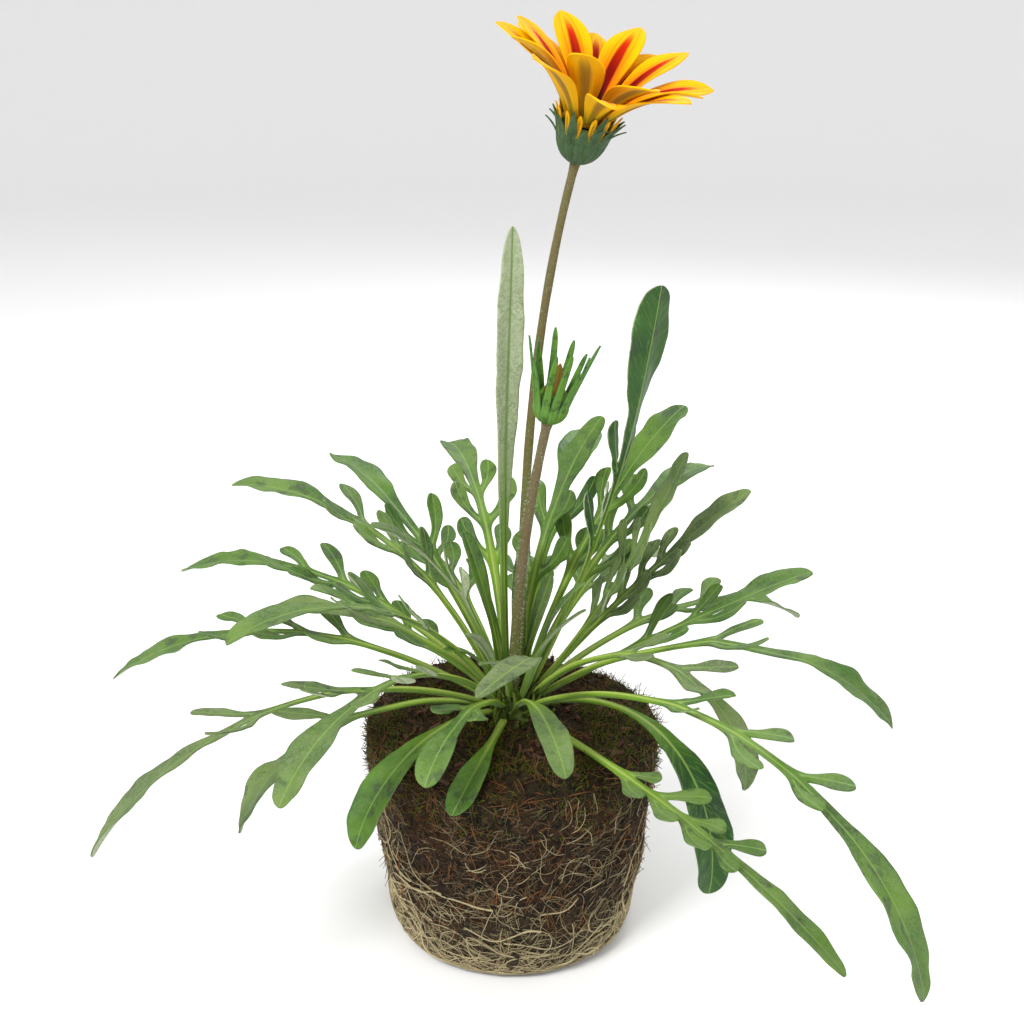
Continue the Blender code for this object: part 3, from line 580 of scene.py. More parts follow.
def stalk_material(name, low, high, change_at):
    """A flower stalk: green below, browner above, with lengthwise lines and a bloom of pale down."""
    made, tree, shader = new_material(name, roughness=0.6, specular=0.18, subsurface=0.03)
    place = object_place(tree)
    height = node(tree, "ShaderNodeSeparateXYZ", {0: place}).outputs[2]
    lines = noise_value(tree, stretched(tree, place, (1500.0, 1500.0, 45.0)), 1.0, 3.0, 0.6)
    felt = use_group(tree, FELT, {"Density": 0.50, "Fibre Scale": 1300.0})
    mix = smooth(tree, plus(tree, height, times(tree, lines, 0.03)), change_at, change_at + 70 * MM)
    colour = mixed(tree, mix, low, high)
    colour = mixed(tree, times(tree, smooth(tree, lines, 0.35, 0.65), 0.40), colour, (0.070, 0.105, 0.010))
    colour = mixed(tree, times(tree, felt["Mask"], 0.18), colour, (0.240, 0.230, 0.150))
    tree.links.new(colour, shader.inputs["Base Color"])
    bumped(tree, shader, plus(tree, lines, felt["Height"]), strength=0.5, distance=0.3 * MM)
    return made


def hair_material():
    """The pale down on the stalks."""
    made, tree, shader = new_material("down", roughness=0.5, specular=0.4, subsurface=0.1)
    tone = attribute(tree, "tone")
    tree.links.new(mixed(tree, tone, (0.52, 0.56, 0.44), (0.78, 0.80, 0.70)), shader.inputs["Base Color"])
    return made


# Materials of the root ball


def peat_material():
    """Dark peat: orange-brown fibres high on the side, a green film at the rim, a pale haze low down."""
    made, tree, shader = new_material("peat", roughness=0.95, specular=0.12)
    place = object_place(tree)
    height = node(tree, "ShaderNodeSeparateXYZ", {0: place}).outputs[2]
    crumb = noise_value(tree, place, 300.0, 6.0, 0.68)
    patch = noise_value(tree, place, 38.0, 3.0, 0.55)
    lying = noise_value(tree, stretched(tree, place, (240.0, 240.0, 1300.0)), 1.0, 4.0, 0.7, 1.5)
    steep = noise_value(tree, stretched(tree, place, (1200.0, 1200.0, 200.0)), 1.0, 4.0, 0.7, 1.5)
    colour = mixed(tree, smooth(tree, crumb, 0.34, 0.70), (0.004, 0.003, 0.002), (0.034, 0.020, 0.011))
    warm = times(tree, smooth(tree, height, 40 * MM, 66 * MM), smooth(tree, patch, 0.40, 0.62))
    warm = times(tree, warm, smooth(tree, lying, 0.48, 0.66))
    colour = mixed(tree, times(tree, warm, 0.8), colour, (0.120, 0.042, 0.012))
    fibre = times(tree, smooth(tree, steep, 0.54, 0.68), 0.60)
    colour = mixed(tree, fibre, colour, (0.095, 0.078, 0.048))
    rim = times(tree, smooth(tree, height, 68 * MM, 80 * MM), smooth(tree, crumb, 0.42, 0.66))
    colour = mixed(tree, times(tree, rim, 0.5), colour, (0.022, 0.028, 0.004))
    haze = inverse(tree, smooth(tree, height, 2 * MM, 36 * MM))
    haze = times(tree, haze, smooth(tree, lying, 0.44, 0.62))
    colour = mixed(tree, times(tree, haze, 0.5), colour, (0.160, 0.130, 0.075))
    tree.links.new(colour, shader.inputs["Base Color"])
    relief = plus(tree, crumb, times(tree, plus(tree, lying, steep), 0.35))
    bumped(tree, shader, relief, strength=1.0, distance=1.1 * MM)
    return made


def strand_material(name, dark, light, roughness=0.7):
    """Roots, fibres, moss and crumbs: one colour family, lighter or darker from strand to strand."""
    made, tree, shader = new_material(name, roughness=roughness, specular=0.25)
    tone = attribute(tree, "tone")
    grain = noise_value(tree, object_place(tree), 700.0, 3.0, 0.6)
    mix = plus(tree, times(tree, tone, 0.75), times(tree, grain, 0.3), clamp=True)
    tree.links.new(mixed(tree, mix, dark, light), shader.inputs["Base Color"])
    bumped(tree, shader, grain, strength=0.5, distance=0.2 * MM)
    return made


def crown_material():
    """The crown's flesh: mottled dark green with brown bruises."""
    made, tree, shader = new_material("crown_flesh", roughness=0.6, specular=0.3, subsurface=0.08)
    mottle = use_group(tree, MOTTLE, {"Scale": 160.0})
    colour = mixed(tree, mottle["Shade"], (0.030, 0.050, 0.006), (0.060, 0.095, 0.010))
    colour = mixed(tree, times(tree, mottle["Bruise"], 0.8), colour, (0.035, 0.018, 0.008))
    tree.links.new(colour, shader.inputs["Base Color"])
    bumped(tree, shader, mottle["Grain"], strength=0.6, distance=0.5 * MM)
    return made


# Mesh tools


def keep(obj, slot, *replaced):
    """Fix a finished piece in the frame: it rides on the plant and stands for the plain solids named."""
    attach(obj, BODY)
    if replaced:
        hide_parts(*replaced)
    return obj


def mesh_object(name, points, faces, edges=(), values=None, uvs=None, materials=()):
    """An object from points and faces, with float values on its points and a UV map on its corners."""
    mesh = bpy.data.meshes.new(name)
    mesh.from_pydata([tuple(p) for p in points], list(edges), faces)
    for key, data in (values or {}).items():
        data = np.asarray(data, dtype=np.float32)
        kind = "FLOAT_VECTOR" if data.ndim == 2 else "FLOAT"
        field = "vector" if data.ndim == 2 else "value"
        mesh.attributes.new(key, kind, "POINT").data.foreach_set(field, data.ravel())
    if uvs is not None:
        layer = mesh.uv_layers.new(name="leaf")
        layer.data.foreach_set("uv", np.asarray(uvs, dtype=np.float32).ravel())
    for made in materials:
        mesh.materials.append(made)
    mesh.shade_smooth()
    mesh.update()
    obj = bpy.data.objects.new(name, mesh)
    bpy.context.scene.collection.objects.link(obj)
    return obj


def settled(obj):
    """The object with its modifiers made part of its mesh."""
    bpy.context.view_layer.update()
    graph = bpy.context.evaluated_depsgraph_get()
    mesh = bpy.data.meshes.new_from_object(obj.evaluated_get(graph))
    obj.modifiers.clear()
    old = obj.data
    obj.data = mesh
    bpy.data.meshes.remove(old)
    mesh.name = obj.name
    return obj


def joined(name, objects):
    """Several objects as one, with their UV maps and values kept."""
    with bpy.context.temp_override(active_object=objects[0], selected_editable_objects=objects):
        bpy.ops.object.join()
    objects[0].name = name
    objects[0].data.name = name
    return objects[0]


def values_of(mesh, key, width=1):
    data = np.zeros(len(mesh.vertices) * width, np.float32)
    mesh.attributes[key].data.foreach_get("vector" if width == 3 else "value", data)
    return data.reshape(-1, width) if width > 1 else data


def places_of(mesh):
    data = np.zeros(len(mesh.vertices) * 3, np.float32)
    mesh.vertices.foreach_get("co", data)
    return data.reshape(-1, 3)


def grid_faces(rows, columns, closed_across=False):
    """Quads of a grid of points, row by row; closed_across joins the last column to the first."""
    faces = []
    span = columns if closed_across else columns - 1
    for i in range(rows - 1):
        for j in range(span):
            k = (j + 1) % columns
            faces.append((i * columns + j, (i + 1) * columns + j, (i + 1) * columns + k, i * columns + k))
    return faces


def direction(turn, rise=0.0):
    """The unit vector at a turn round the plant's axis and a rise above the level, in radians."""
    return Vector((math.cos(rise) * math.cos(turn), math.cos(rise) * math.sin(turn), math.sin(rise)))


def beside(turn):
    """The level unit vector square to direction(turn)."""
    return Vector((-math.sin(turn), math.cos(turn), 0.0))


def interpolated(value, table):
    """A value read from (share, value) pairs by straight lines."""
    shares, values = zip(*table)
    return float(np.interp(value, shares, values))


# Geometry node trees


def new_tree(name, inputs):
    """A geometry node tree with named inputs, and its input and output nodes."""
    tree = bpy.data.node_groups.new(name, "GeometryNodeTree")
    tree.interface.new_socket("Geometry", in_out="INPUT", socket_type="NodeSocketGeometry")
    for label, kind in inputs:
        tree.interface.new_socket(label, in_out="INPUT", socket_type=kind)
    tree.interface.new_socket("Geometry", in_out="OUTPUT", socket_type="NodeSocketGeometry")
    return tree, tree.nodes.new("NodeGroupInput").outputs, tree.nodes.new("NodeGroupOutput").inputs


def named_value(tree, name, kind="FLOAT"):
    made = node(tree, "GeometryNodeInputNamedAttribute", {"Name": name}, data_type=kind)
    return made.outputs["Attribute"]


def swept(tree, curve, sides, radius):
    """A round section carried along a curve, as thick as radius says there, with closed ends."""
    ring = node(tree, "GeometryNodeCurvePrimitiveCircle", {"Resolution": sides, "Radius": 1.0})
    inputs = {"Curve": curve, "Profile Curve": ring.outputs[0], "Scale": radius, "Fill Caps": True}
    return node(tree, "GeometryNodeCurveToMesh", inputs).outputs[0]


def strand_tree():
    """Sweeps a round section along every chain of edges, as thick as the chain's own thickness value."""
    sockets = [("Sides", "NodeSocketInt"), ("Material", "NodeSocketMaterial")]
    tree, given, result = new_tree("strands", sockets)
    curve = node(tree, "GeometryNodeMeshToCurve", {0: given["Geometry"]}).outputs[0]
    solid = swept(tree, curve, given["Sides"], named_value(tree, "thickness"))
    whole = node(tree, "GeometryNodeRealizeInstances", {0: solid}).outputs[0]
    done = node(tree, "GeometryNodeSetMaterial", {"Geometry": whole, "Material": given["Material"]})
    tree.links.new(done.outputs[0], result["Geometry"])
    return tree


def tuft_tree():
    """Stands a bent, pointed blade on every point, along its aim and as long as its size says."""
    sockets = [
        ("Length", "NodeSocketFloat"), ("Thickness", "NodeSocketFloat"), ("Bend", "NodeSocketFloat"),
        ("Blunt", "NodeSocketFloat"), ("Sides", "NodeSocketInt"), ("Segments", "NodeSocketInt"),
        ("Seed", "NodeSocketInt"), ("Material", "NodeSocketMaterial"),
    ]
    tree, given, result = new_tree("tufts", sockets)
    half = node(tree, "ShaderNodeCombineXYZ", {2: times(tree, given["Length"], 0.5)}).outputs[0]
    side = times(tree, given["Length"], given["Bend"])
    tip = node(tree, "ShaderNodeCombineXYZ", {0: side, 2: given["Length"]}).outputs[0]
    inputs = {"Resolution": given["Segments"], "Start": (0, 0, 0), "Middle": half, "End": tip}
    blade = node(tree, "GeometryNodeCurveQuadraticBezier", inputs)
    factor = node(tree, "GeometryNodeSplineParameter").outputs["Factor"]
    sharp = times(tree, factor, inverse(tree, given["Blunt"]))
    radius = times(tree, given["Thickness"], inverse(tree, sharp))
    solid = swept(tree, blade.outputs[0], given["Sides"], radius)
    turn = node(tree, "FunctionNodeRandomValue", {"Min": 0.0, "Max": 2 * math.pi, "Seed": given["Seed"]})
    inputs = {"Axis": (0, 0, 1), "Angle": turn.outputs["Value"]}
    spin = node(tree, "FunctionNodeAxisAngleToRotation", inputs).outputs[0]
    aim = named_value(tree, "aim", "FLOAT_VECTOR")
    stand = node(tree, "FunctionNodeAlignRotationToVector", {"Vector": aim}, axis="Z").outputs[0]
    facing = node(tree, "FunctionNodeRotateRotation", {0: stand, 1: spin}, rotation_space="LOCAL").outputs[0]
    size = named_value(tree, "size")
    inputs = {"Points": given["Geometry"], "Instance": solid, "Rotation": facing, "Scale": size}
    copies = node(tree, "GeometryNodeInstanceOnPoints", inputs).outputs[0]
    whole = node(tree, "GeometryNodeRealizeInstances", {0: copies}).outputs[0]
    rounded = node(tree, "GeometryNodeSetShadeSmooth", {"Geometry": whole, "Shade Smooth": True}).outputs[0]
    done = node(tree, "GeometryNodeSetMaterial", {"Geometry": rounded, "Material": given["Material"]})
    tree.links.new(done.outputs[0], result["Geometry"])
    return tree


def grown(obj, tree, settings):
    """Run a geometry node tree on an object with its named inputs set, and keep the plain mesh."""
    modifier = obj.modifiers.new(tree.name, "NODES")
    modifier.node_group = tree
    for item in tree.interface.items_tree:
        if item.in_out == "INPUT" and item.name in settings:
            modifier[item.identifier] = settings[item.name]
    settled(obj)
    obj.data.materials.clear()
    obj.data.materials.append(settings["Material"])
    obj.data.polygons.foreach_set("material_index", np.zeros(len(obj.data.polygons), np.int32))
    return obj


def strands(name, chains, tones, sides, material):
    """Chains of (points, thicknesses) swept into one mesh of roots or stalks."""
    points, edges, thickness, tone = [], [], [], []
    for (places, radii), shade in zip(chains, tones):
        first = len(points)
        points += [tuple(p) for p in places]
        thickness += list(radii)
        tone += [shade] * len(places)
        edges += [(first + i, first + i + 1) for i in range(len(places) - 1)]
    obj = mesh_object(name, points, [], edges, {"thickness": thickness, "tone": tone})
    grown(obj, STRANDS, {"Sides": sides, "Material": material})
    obj.data.shade_smooth()
    return obj


# Lengths and thicknesses in millimetres. bend is the tip's lean as a share of the length. blunt is 0 for a
# point and 1 for a tip as thick as the foot. seed turns each sprig its own way.
SprigKind = namedtuple("SprigKind", "length thickness bend blunt sides segments seed")
HAIR = SprigKind(0.9, 0.035, 0.30, 0.20, 3, 2, 3)
FLORET = SprigKind(2.1, 0.42, 0.10, 0.62, 7, 5, 5)
MOSS_SPRIG = SprigKind(2.4, 0.16, 0.55, 0.30, 3, 3, 8)
PEAT_FIBRE = SprigKind(4.6, 0.14, 0.25, 0.50, 3, 4, 9)
BARK_CRUMB = SprigKind(3.2, 0.80, 0.10, 0.70, 5, 3, 10)
OLD_LEAF_BASE = SprigKind(6.0, 0.95, 0.30, 0.30, 5, 4, 11)


def tufts(name, kind, sprigs, material):
    """One mesh of many small sprigs of a kind, each given as (place, aim, size, tone)."""
    places, aims, sizes, tones = zip(*sprigs)
    obj = mesh_object(name, places, [], values={"aim": aims, "size": sizes, "tone": tones})
    settings = {
        "Length": kind.length * MM, "Thickness": kind.thickness * MM, "Bend": kind.bend, "Blunt": kind.blunt,
        "Sides": kind.sides, "Segments": kind.segments, "Seed": kind.seed, "Material": material,
    }
    return grown(obj, TUFTS, settings)


STRANDS = strand_tree()
TUFTS = tuft_tree()


# Leaves


class Cage:
    """A coarse leaf surface: points with their values, and faces with a UV at each corner."""

    def __init__(self, tone):
        self.tone = tone
        self.points, self.weights, self.edges, self.pales, self.ups = [], [], [], [], []
        self.faces, self.uvs = [], []

    def point(self, place, up, weight, edge, pale):
        self.points.append(place)
        self.ups.append(up)
        self.weights.append(weight)
        self.edges.append(edge)
        self.pales.append(pale)
        return len(self.points) - 1

    def face(self, corners, places):
        """corners are point numbers; places are (across, along) in metres for each corner."""
        self.faces.append(tuple(corners))
        self.uvs += [(0.5 + across * UV_ACROSS, along * UV_ALONG) for across, along in places]


def crown_start(stem, gap):
    """Where a leaf or stalk stands on the crown: the steeper it rises, the nearer to the top."""
    start = math.radians(LOWEST_START_DEG + START_PER_RISE * max(stem.rise, 0.0))
    return CROWN_CENTRE + direction(math.radians(stem.azimuth), start) * (CROWN_RADIUS + gap)


def midrib(leaf, shares):
    """Places and frames along a leaf: (place, forward, sideways, up) for each share of its length."""
    place = crown_start(leaf, LEAF_START_GAP)
    length = leaf.length * MM
    steps = 60
    places, frames = [place], []
    for i in range(steps + 1):
        share = i / steps
        rise = math.radians(leaf.rise - leaf.droop * share**DROOP_POWER)
        turn = math.radians(leaf.azimuth + leaf.sweep * share)
        forward = direction(turn, rise)
        sideways = Matrix.Rotation(math.radians(leaf.roll) * share, 3, forward) @ beside(turn)
        frames.append((forward, sideways, forward.cross(sideways)))
        if i < steps:
            place = place + forward * (length / steps)
            places.append(place)
    made = []
    for share in shares:
        i = min(int(share * steps), steps - 1)
        made.append((places[i].lerp(places[i + 1], share * steps - i), *frames[i]))
    return made


def half_width(leaf, share):
    """Half the leaf's width at a share of its length: stalk, wings between the lobes, then the end blade."""
    blade = leaf.blade * MM
    narrow = WING_HALF_WIDTH if leaf.pairs else PETIOLE_HALF_WIDTH
    swell_from, widest = (0.64, 0.83) if leaf.pairs else (0.28, 0.74)
    if share < swell_from:
        return PETIOLE_HALF_WIDTH + (narrow - PETIOLE_HALF_WIDTH) * share / swell_from
    if share < widest:
        t = (share - swell_from) / (widest - swell_from)
        return narrow + (blade - narrow) * t * t * (3 - 2 * t)
    t = (share - widest) / (1 - widest)
    return blade * math.sqrt(max(0.0, 1 - t**2.4))


def leaf_rows(leaf):
    """Shares of the length where the cage has a row, and the first of three rows at each pair of lobes."""
    if not leaf.pairs:
        rows = [0, 0.03, 0.08, 0.16, 0.24, 0.32, 0.40, 0.48, 0.56, 0.64, 0.72, 0.79, 0.85, 0.90, 0.94, 0.97]
        return rows, []
    rows = [0, 0.03, 0.08, 0.16, 0.24]
    base = LOBE_BASE / (leaf.length * MM)
    starts = []
    for k in range(leaf.pairs):
        at = 0.30 + 0.36 * (k + 0.5) / leaf.pairs
        starts.append(len(rows))
        rows += [at - base / 2, at, at + base / 2]
        if k < leaf.pairs - 1:
            rows.append(at + 0.18 / leaf.pairs)
    return rows + [0.70, 0.74, 0.78, 0.82, 0.86, 0.90, 0.935, 0.965, 0.985], starts


def leaf_weight(share, middle):
    """0 is the thinnest part of the leaf and 1 the thickest, a stout stalk that thins into the blade."""
    stalk = max(0.0, 1 - max(0.0, share - 0.1) / 0.55)
    root = min(1.0, 0.35 + share / 0.06)
    return ((0.10, 0.35, 1.0)[middle] * stalk + (0.0, 0.02, 0.22)[middle] * (1 - share)) * root


def leaf_cage(leaf, number):
    """The coarse surface of a leaf: five columns along the midrib, an end point and the side lobes."""
    rows, starts = leaf_rows(leaf)
    stations = midrib(leaf, rows)
    fold = math.radians(FOLD_DEG)
    cage = Cage(leaf.tone)
    length = leaf.length * MM
    index = []
    for share, (place, _, sideways, up) in zip(rows, stations):
        w = half_width(leaf, share)
        broad = min(1.0, max(0.0, (w - WING_HALF_WIDTH) / (4 * MM)))
        row = []
        for side in LEAF_COLUMNS:
            lift = abs(side) * math.sin(fold) * w + (0.07 * w * broad if 0 < abs(side) < 1 else 0.0)
            middle = 2 if side == 0 else (1 if abs(side) < 1 else 0)
            spot = place + side * math.cos(fold) * w * sideways + lift * up
            row.append(cage.point(spot, up, leaf_weight(share, middle), abs(side) * broad, 1 - share))
        index.append(row)
    for i in range(len(rows) - 1):
        low, high = half_width(leaf, rows[i]), half_width(leaf, rows[i + 1])
        for j in range(len(LEAF_COLUMNS) - 1):
            a, b = LEAF_COLUMNS[j], LEAF_COLUMNS[j + 1]
            corners = (index[i][j], index[i + 1][j], index[i + 1][j + 1], index[i][j + 1])
            at, after = rows[i] * length, rows[i + 1] * length
            cage.face(corners, [(a * low, at), (a * high, after), (b * high, after), (b * low, at)])
    end = cage.point(midrib(leaf, [1.0])[0][0], stations[-1][3], 0.0, 0.4, 0.0)
    last = half_width(leaf, rows[-1])
    for j in range(len(LEAF_COLUMNS) - 1):
        a, b = LEAF_COLUMNS[j] * last, LEAF_COLUMNS[j + 1] * last
        places = [(a, rows[-1] * length), (0.0, length), (b, rows[-1] * length)]
        cage.face((index[-1][j], end, index[-1][j + 1]), places)
    for order, start in enumerate(starts):
        for side in (-1, 1):
            edge_column = 0 if side < 0 else len(LEAF_COLUMNS) - 1
            base = [index[start + k][edge_column] for k in range(3)]
            add_lobe(cage, leaf, stations[start], base, side, order, number)
    return cage


LOBE_WIDTHS = [(0, 2.2), (0.18, 1.6), (0.36, 1.7), (0.54, 2.8), (0.70, 3.6), (0.84, 3.4), (0.95, 2.1), (1, 0)]


def add_lobe(cage, leaf, station, base, side, order, number):
    """One side lobe with its own midrib: a narrow neck that widens to a rounded spoon."""
    _, forward, sideways, up = station
    root = (cage.points[base[0]] + cage.points[base[2]]) / 2
    size = 0.62 + 0.38 * math.sin(math.pi * (order + 1) / (leaf.pairs + 1))
    wobble = math.sin(2.7 * order + leaf.azimuth + side)
    length = (7 * MM + leaf.blade * MM * 1.7) * (size + 0.16 * wobble)
    lean = math.radians(46 + 8 * wobble)
    curl = 0.22 + 0.10 * math.sin(3.1 * number + 1.9 * order + side)
    pale = cage.pales[base[1]] * 0.45
    before, before_share = base, 0.0
    for share, width in LOBE_WIDTHS[1:-1]:
        turn = lean - 0.35 * share
        along = math.cos(turn) * forward + side * math.sin(turn) * sideways
        across = math.sin(turn) * forward - side * math.cos(turn) * sideways
        centre = root + along * length * share + up * length * curl * share * share
        row = []
        for column in (-1, 0, 1):
            spot = centre + across * (column * width * MM) + up * (abs(column) * 0.22 * width * MM)
            weight = 0.10 * (1 - share) * (column == 0)
            row.append(cage.point(spot, up, weight, 0.8 * abs(column), pale * (1 - share)))
        lobe_faces(cage, before, row, before_share * length, share * length, width * MM, side)
        before, before_share = row, share
    turn = lean - 0.35
    along = math.cos(turn) * forward + side * math.sin(turn) * sideways
    tip = cage.point(root + along * length + up * length * curl, up, 0.0, 0.5, 0.0)
    width = LOBE_WIDTHS[-2][1] * MM
    for k in (0, 1):
        a, b = (k - 1) * width, k * width
        corners = (before[k], before[k + 1], tip)
        places = [(a, before_share * length), (b, before_share * length), (0.0, length)]
        cage.face(corners if side > 0 else corners[::-1], places if side > 0 else places[::-1])


def lobe_faces(cage, before, row, at, after, width, side):
    """The four-sided faces between two rows of a lobe, or between its leaf's edge and its first row."""
    for k in (0, 1):
        a, b = (k - 1) * width, k * width
        corners = (before[k], before[k + 1], row[k + 1], row[k])
        places = [(a, at), (b, at), (b, after), (a, after)]
        cage.face(corners if side > 0 else corners[::-1], places if side > 0 else places[::-1])


def make_leaf(number, leaf, top, under):
    """A leaf: its cage rounded off, thickened, and ruffled along its edges."""
    cage = leaf_cage(leaf, number)
    tones = [cage.tone] * len(cage.points)
    values = {"edge": cage.edges, "pale": cage.pales, "upward": [tuple(v) for v in cage.ups], "tone": tones}
    skins = (under, top) if number in TURNED_OVER else (top, under)
    obj = mesh_object(f"foliage_{number:02d}", cage.points, cage.faces, (), values, cage.uvs, skins)
    group = obj.vertex_groups.new(name="thickness")
    for i, weight in enumerate(cage.weights):
        group.add([i], weight, "REPLACE")
    rounding = obj.modifiers.new("rounding", "SUBSURF")
    rounding.levels = 2
    rounding.render_levels = 2
    wall = obj.modifiers.new("wall", "SOLIDIFY")
    wall.thickness = LEAF_THICKEST
    wall.offset = 0.0
    wall.vertex_group = "thickness"
    wall.thickness_vertex_group = LEAF_THINNEST / LEAF_THICKEST
    wall.material_offset = 1
    settled(obj)
    ruffle(obj.data, number)
    obj.data.shade_smooth()
    if number > len(LEAVES):
        return keep(obj, "leaf")
    return keep(obj, "leaf", f"leaf_{number:02d}")


def ruffle(mesh, number):
    """Wave the leaf's edges up and down, and dent its blade a little."""
    places = places_of(mesh)
    edge = values_of(mesh, "edge")
    upward = values_of(mesh, "upward", 3)
    wave = np.array([noise.noise(Vector(p) * 95 + Vector((number, 0, 0))) for p in places])
    fine = np.array([noise.noise(Vector(p) * 240 + Vector((0, number, 0))) for p in places])
    lift = RUFFLE * (1.9 * wave * edge**1.5 + 0.5 * fine * edge + 0.35 * wave * np.minimum(edge * 3, 1.0))
    places = places + upward * lift[:, None]
    mesh.vertices.foreach_set("co", places.astype(np.float32).ravel())
    mesh.update()


# Petals and bracts


def bowed_path(shares, angle, start_radius, start_height, rise, flattens, length, sway=0.0):
    """Places, ups and sideways of a blade that leaves the axis, rises and flattens towards its tip."""
    outward = direction(angle)
    sideways = beside(angle)
    place = outward * start_radius + UP * start_height
    places, ups = [], []
    before = 0.0
    for share in shares:
        between = math.radians(rise - flattens * (before + share) / 2)
        place = place + (outward * math.cos(between) + UP * math.sin(between)) * length * (share - before)
        place = place + sideways * length * (share - before) * sway * 2 * share
        tilt = math.radians(rise - flattens * share)
        places.append(place)
        ups.append(UP * math.cos(tilt) - outward * math.sin(tilt))
        before = share
    return places, ups, sideways


def blade_object(name, path, widths, lift, columns, thickness, materials, twist=0.0):
    """A thin petal or bract as a closed solid; lift gives a column's height as a share of the width."""
    places, ups, sideways = path
    points, uvs = [], []
    rows = len(places)
    for i, (place, up, width) in enumerate(zip(places, ups, widths)):
        turn = twist * (i / (rows - 1)) ** 2
        across = sideways * math.cos(turn) + up * math.sin(turn)
        raised = up * math.cos(turn) - sideways * math.sin(turn)
        for side in columns:
            points.append(place + across * side * width + raised * lift(side, i / (rows - 1)) * width)
    faces = grid_faces(rows, len(columns))
    for face in faces:
        for corner in face:
            row, column = divmod(corner, len(columns))
            uvs.append((0.5 + 0.5 * columns[column], row / (rows - 1)))
    values = {"tone": [0.5] * len(points)}
    obj = mesh_object(name, points, faces, (), values, uvs, materials)
    rounding = obj.modifiers.new("rounding", "SUBSURF")
    rounding.levels = 1
    rounding.render_levels = 1
    wall = obj.modifiers.new("wall", "SOLIDIFY")
    wall.thickness = thickness
    wall.offset = 0.0
    wall.material_offset = 1 if len(materials) > 1 else 0
    return settled(obj)


def lathe_object(name, profile, steps, ridges, depth, material):
    """A turned solid from (radius, height) pairs, with ridges that run up its side."""
    points, uvs = [], []
    for radius, height in profile:
        for k in range(steps):
            angle = 2 * math.pi * k / steps
            fluted = radius * (1 - depth * (0.5 + 0.5 * math.cos(ridges * angle)) ** 2)
            points.append((fluted * math.cos(angle), fluted * math.sin(angle), height))
    faces = grid_faces(len(profile), steps, closed_across=True)
    for face in faces:
        for corner in face:
            row, column = divmod(corner, steps)
            uvs.append(((column * ridges / steps) % 1.0, row / (len(profile) - 1)))
    values = {"tone": [0.5] * len(points)}
    obj = mesh_object(name, points, faces, (), values, uvs, (material,))
    welded(obj.data)
    return obj


def welded(mesh):
    """Weld doubled points, as at a pole, and turn all faces outwards."""
    bm = bmesh.new()
    bm.from_mesh(mesh)
    bmesh.ops.remove_doubles(bm, verts=bm.verts, dist=0.002 * MM)
    bmesh.ops.recalc_face_normals(bm, faces=bm.faces)
    bm.to_mesh(mesh)
    bm.free()
    mesh.shade_smooth()


def scape_line(scape, count):
    """Points from the crown to the head, and the direction in which the stalk ends."""
    points = [crown_start(scape, SCAPE_START_GAP)]
    for i in range(count - 1):
        share = (i + 0.5) / (count - 1)
        rise = math.radians(scape.rise - scape.droop * share * share)
        turn = math.radians(scape.azimuth + scape.sweep * share)
        forward = direction(turn, rise)
        points.append(points[-1] + forward * (scape.length * MM / (count - 1)))
    return points, forward


def head_matrix(place, forward, nod):
    """Sets a head that is modelled upright at the origin on its stalk's end, nodding towards the viewer."""
    nodding = Matrix.Rotation(math.radians(nod), 3, "X") @ forward
    facing = nodding.to_track_quat("Z", "Y").to_matrix().to_4x4()
    return Matrix.Translation(place + forward * HEAD_GAP) @ facing


def make_scape(name, part, scape, matter):
    """A flower stalk that flares under its head, and the short pale hairs that stand out from it."""
    smooth_points, forward = scape_line(scape, STALK_POINTS)
    smooth_points.append(smooth_points[-1] + forward * (HEAD_GAP + 0.9 * MM))
    radii = []
    for i in range(len(smooth_points)):
        share = i / (len(smooth_points) - 1)
        flare = 0.45 * max(0.0, (share - 0.965) / 0.035) ** 2
        radii.append(scape.radius * MM * (1.15 - 0.25 * share + flare + 0.03 * math.sin(41 * share)))
    stalk = strands(name, [(smooth_points, radii)], [0.5], STALK_SIDES, matter[name])
    keep(stalk, part, part)
    draw = np.random.default_rng(int(scape.length))
    places, aims = [], []
    for _ in range(STALK_HAIRS):
        at = draw.uniform(0.02, 0.995) * (len(smooth_points) - 1)
        i = min(int(at), len(smooth_points) - 2)
        forward = (smooth_points[i + 1] - smooth_points[i]).normalized()
        around = Matrix.Rotation(draw.uniform(0, 2 * math.pi), 3, forward) @ forward.orthogonal().normalized()
        places.append(smooth_points[i].lerp(smooth_points[i + 1], at - i) + around * radii[i] * 0.95)
        aims.append(around + forward * draw.uniform(-0.2, 0.7))
    sizes = draw.uniform(0.5, 1.3, len(places))
    tones = draw.random(len(places))
    keep(tufts(name + "_down", HAIR, zip(places, aims, sizes, tones), matter["down"]), part)


def make_bloom(matter):
    """The open head: cup with free teeth, two rows of rays on their hub, and the disc of florets."""
    line, forward = scape_line(BLOOM_SCAPE, HEAD_LINE_POINTS)
    upright = head_matrix(line[-1], forward, HEAD_NOD_DEG)
    make_cup(upright, matter)
    floor = CUP_HEIGHT + TOUCH_GAP
    make_rays(upright, floor, matter)
    make_disc(upright, floor, matter)


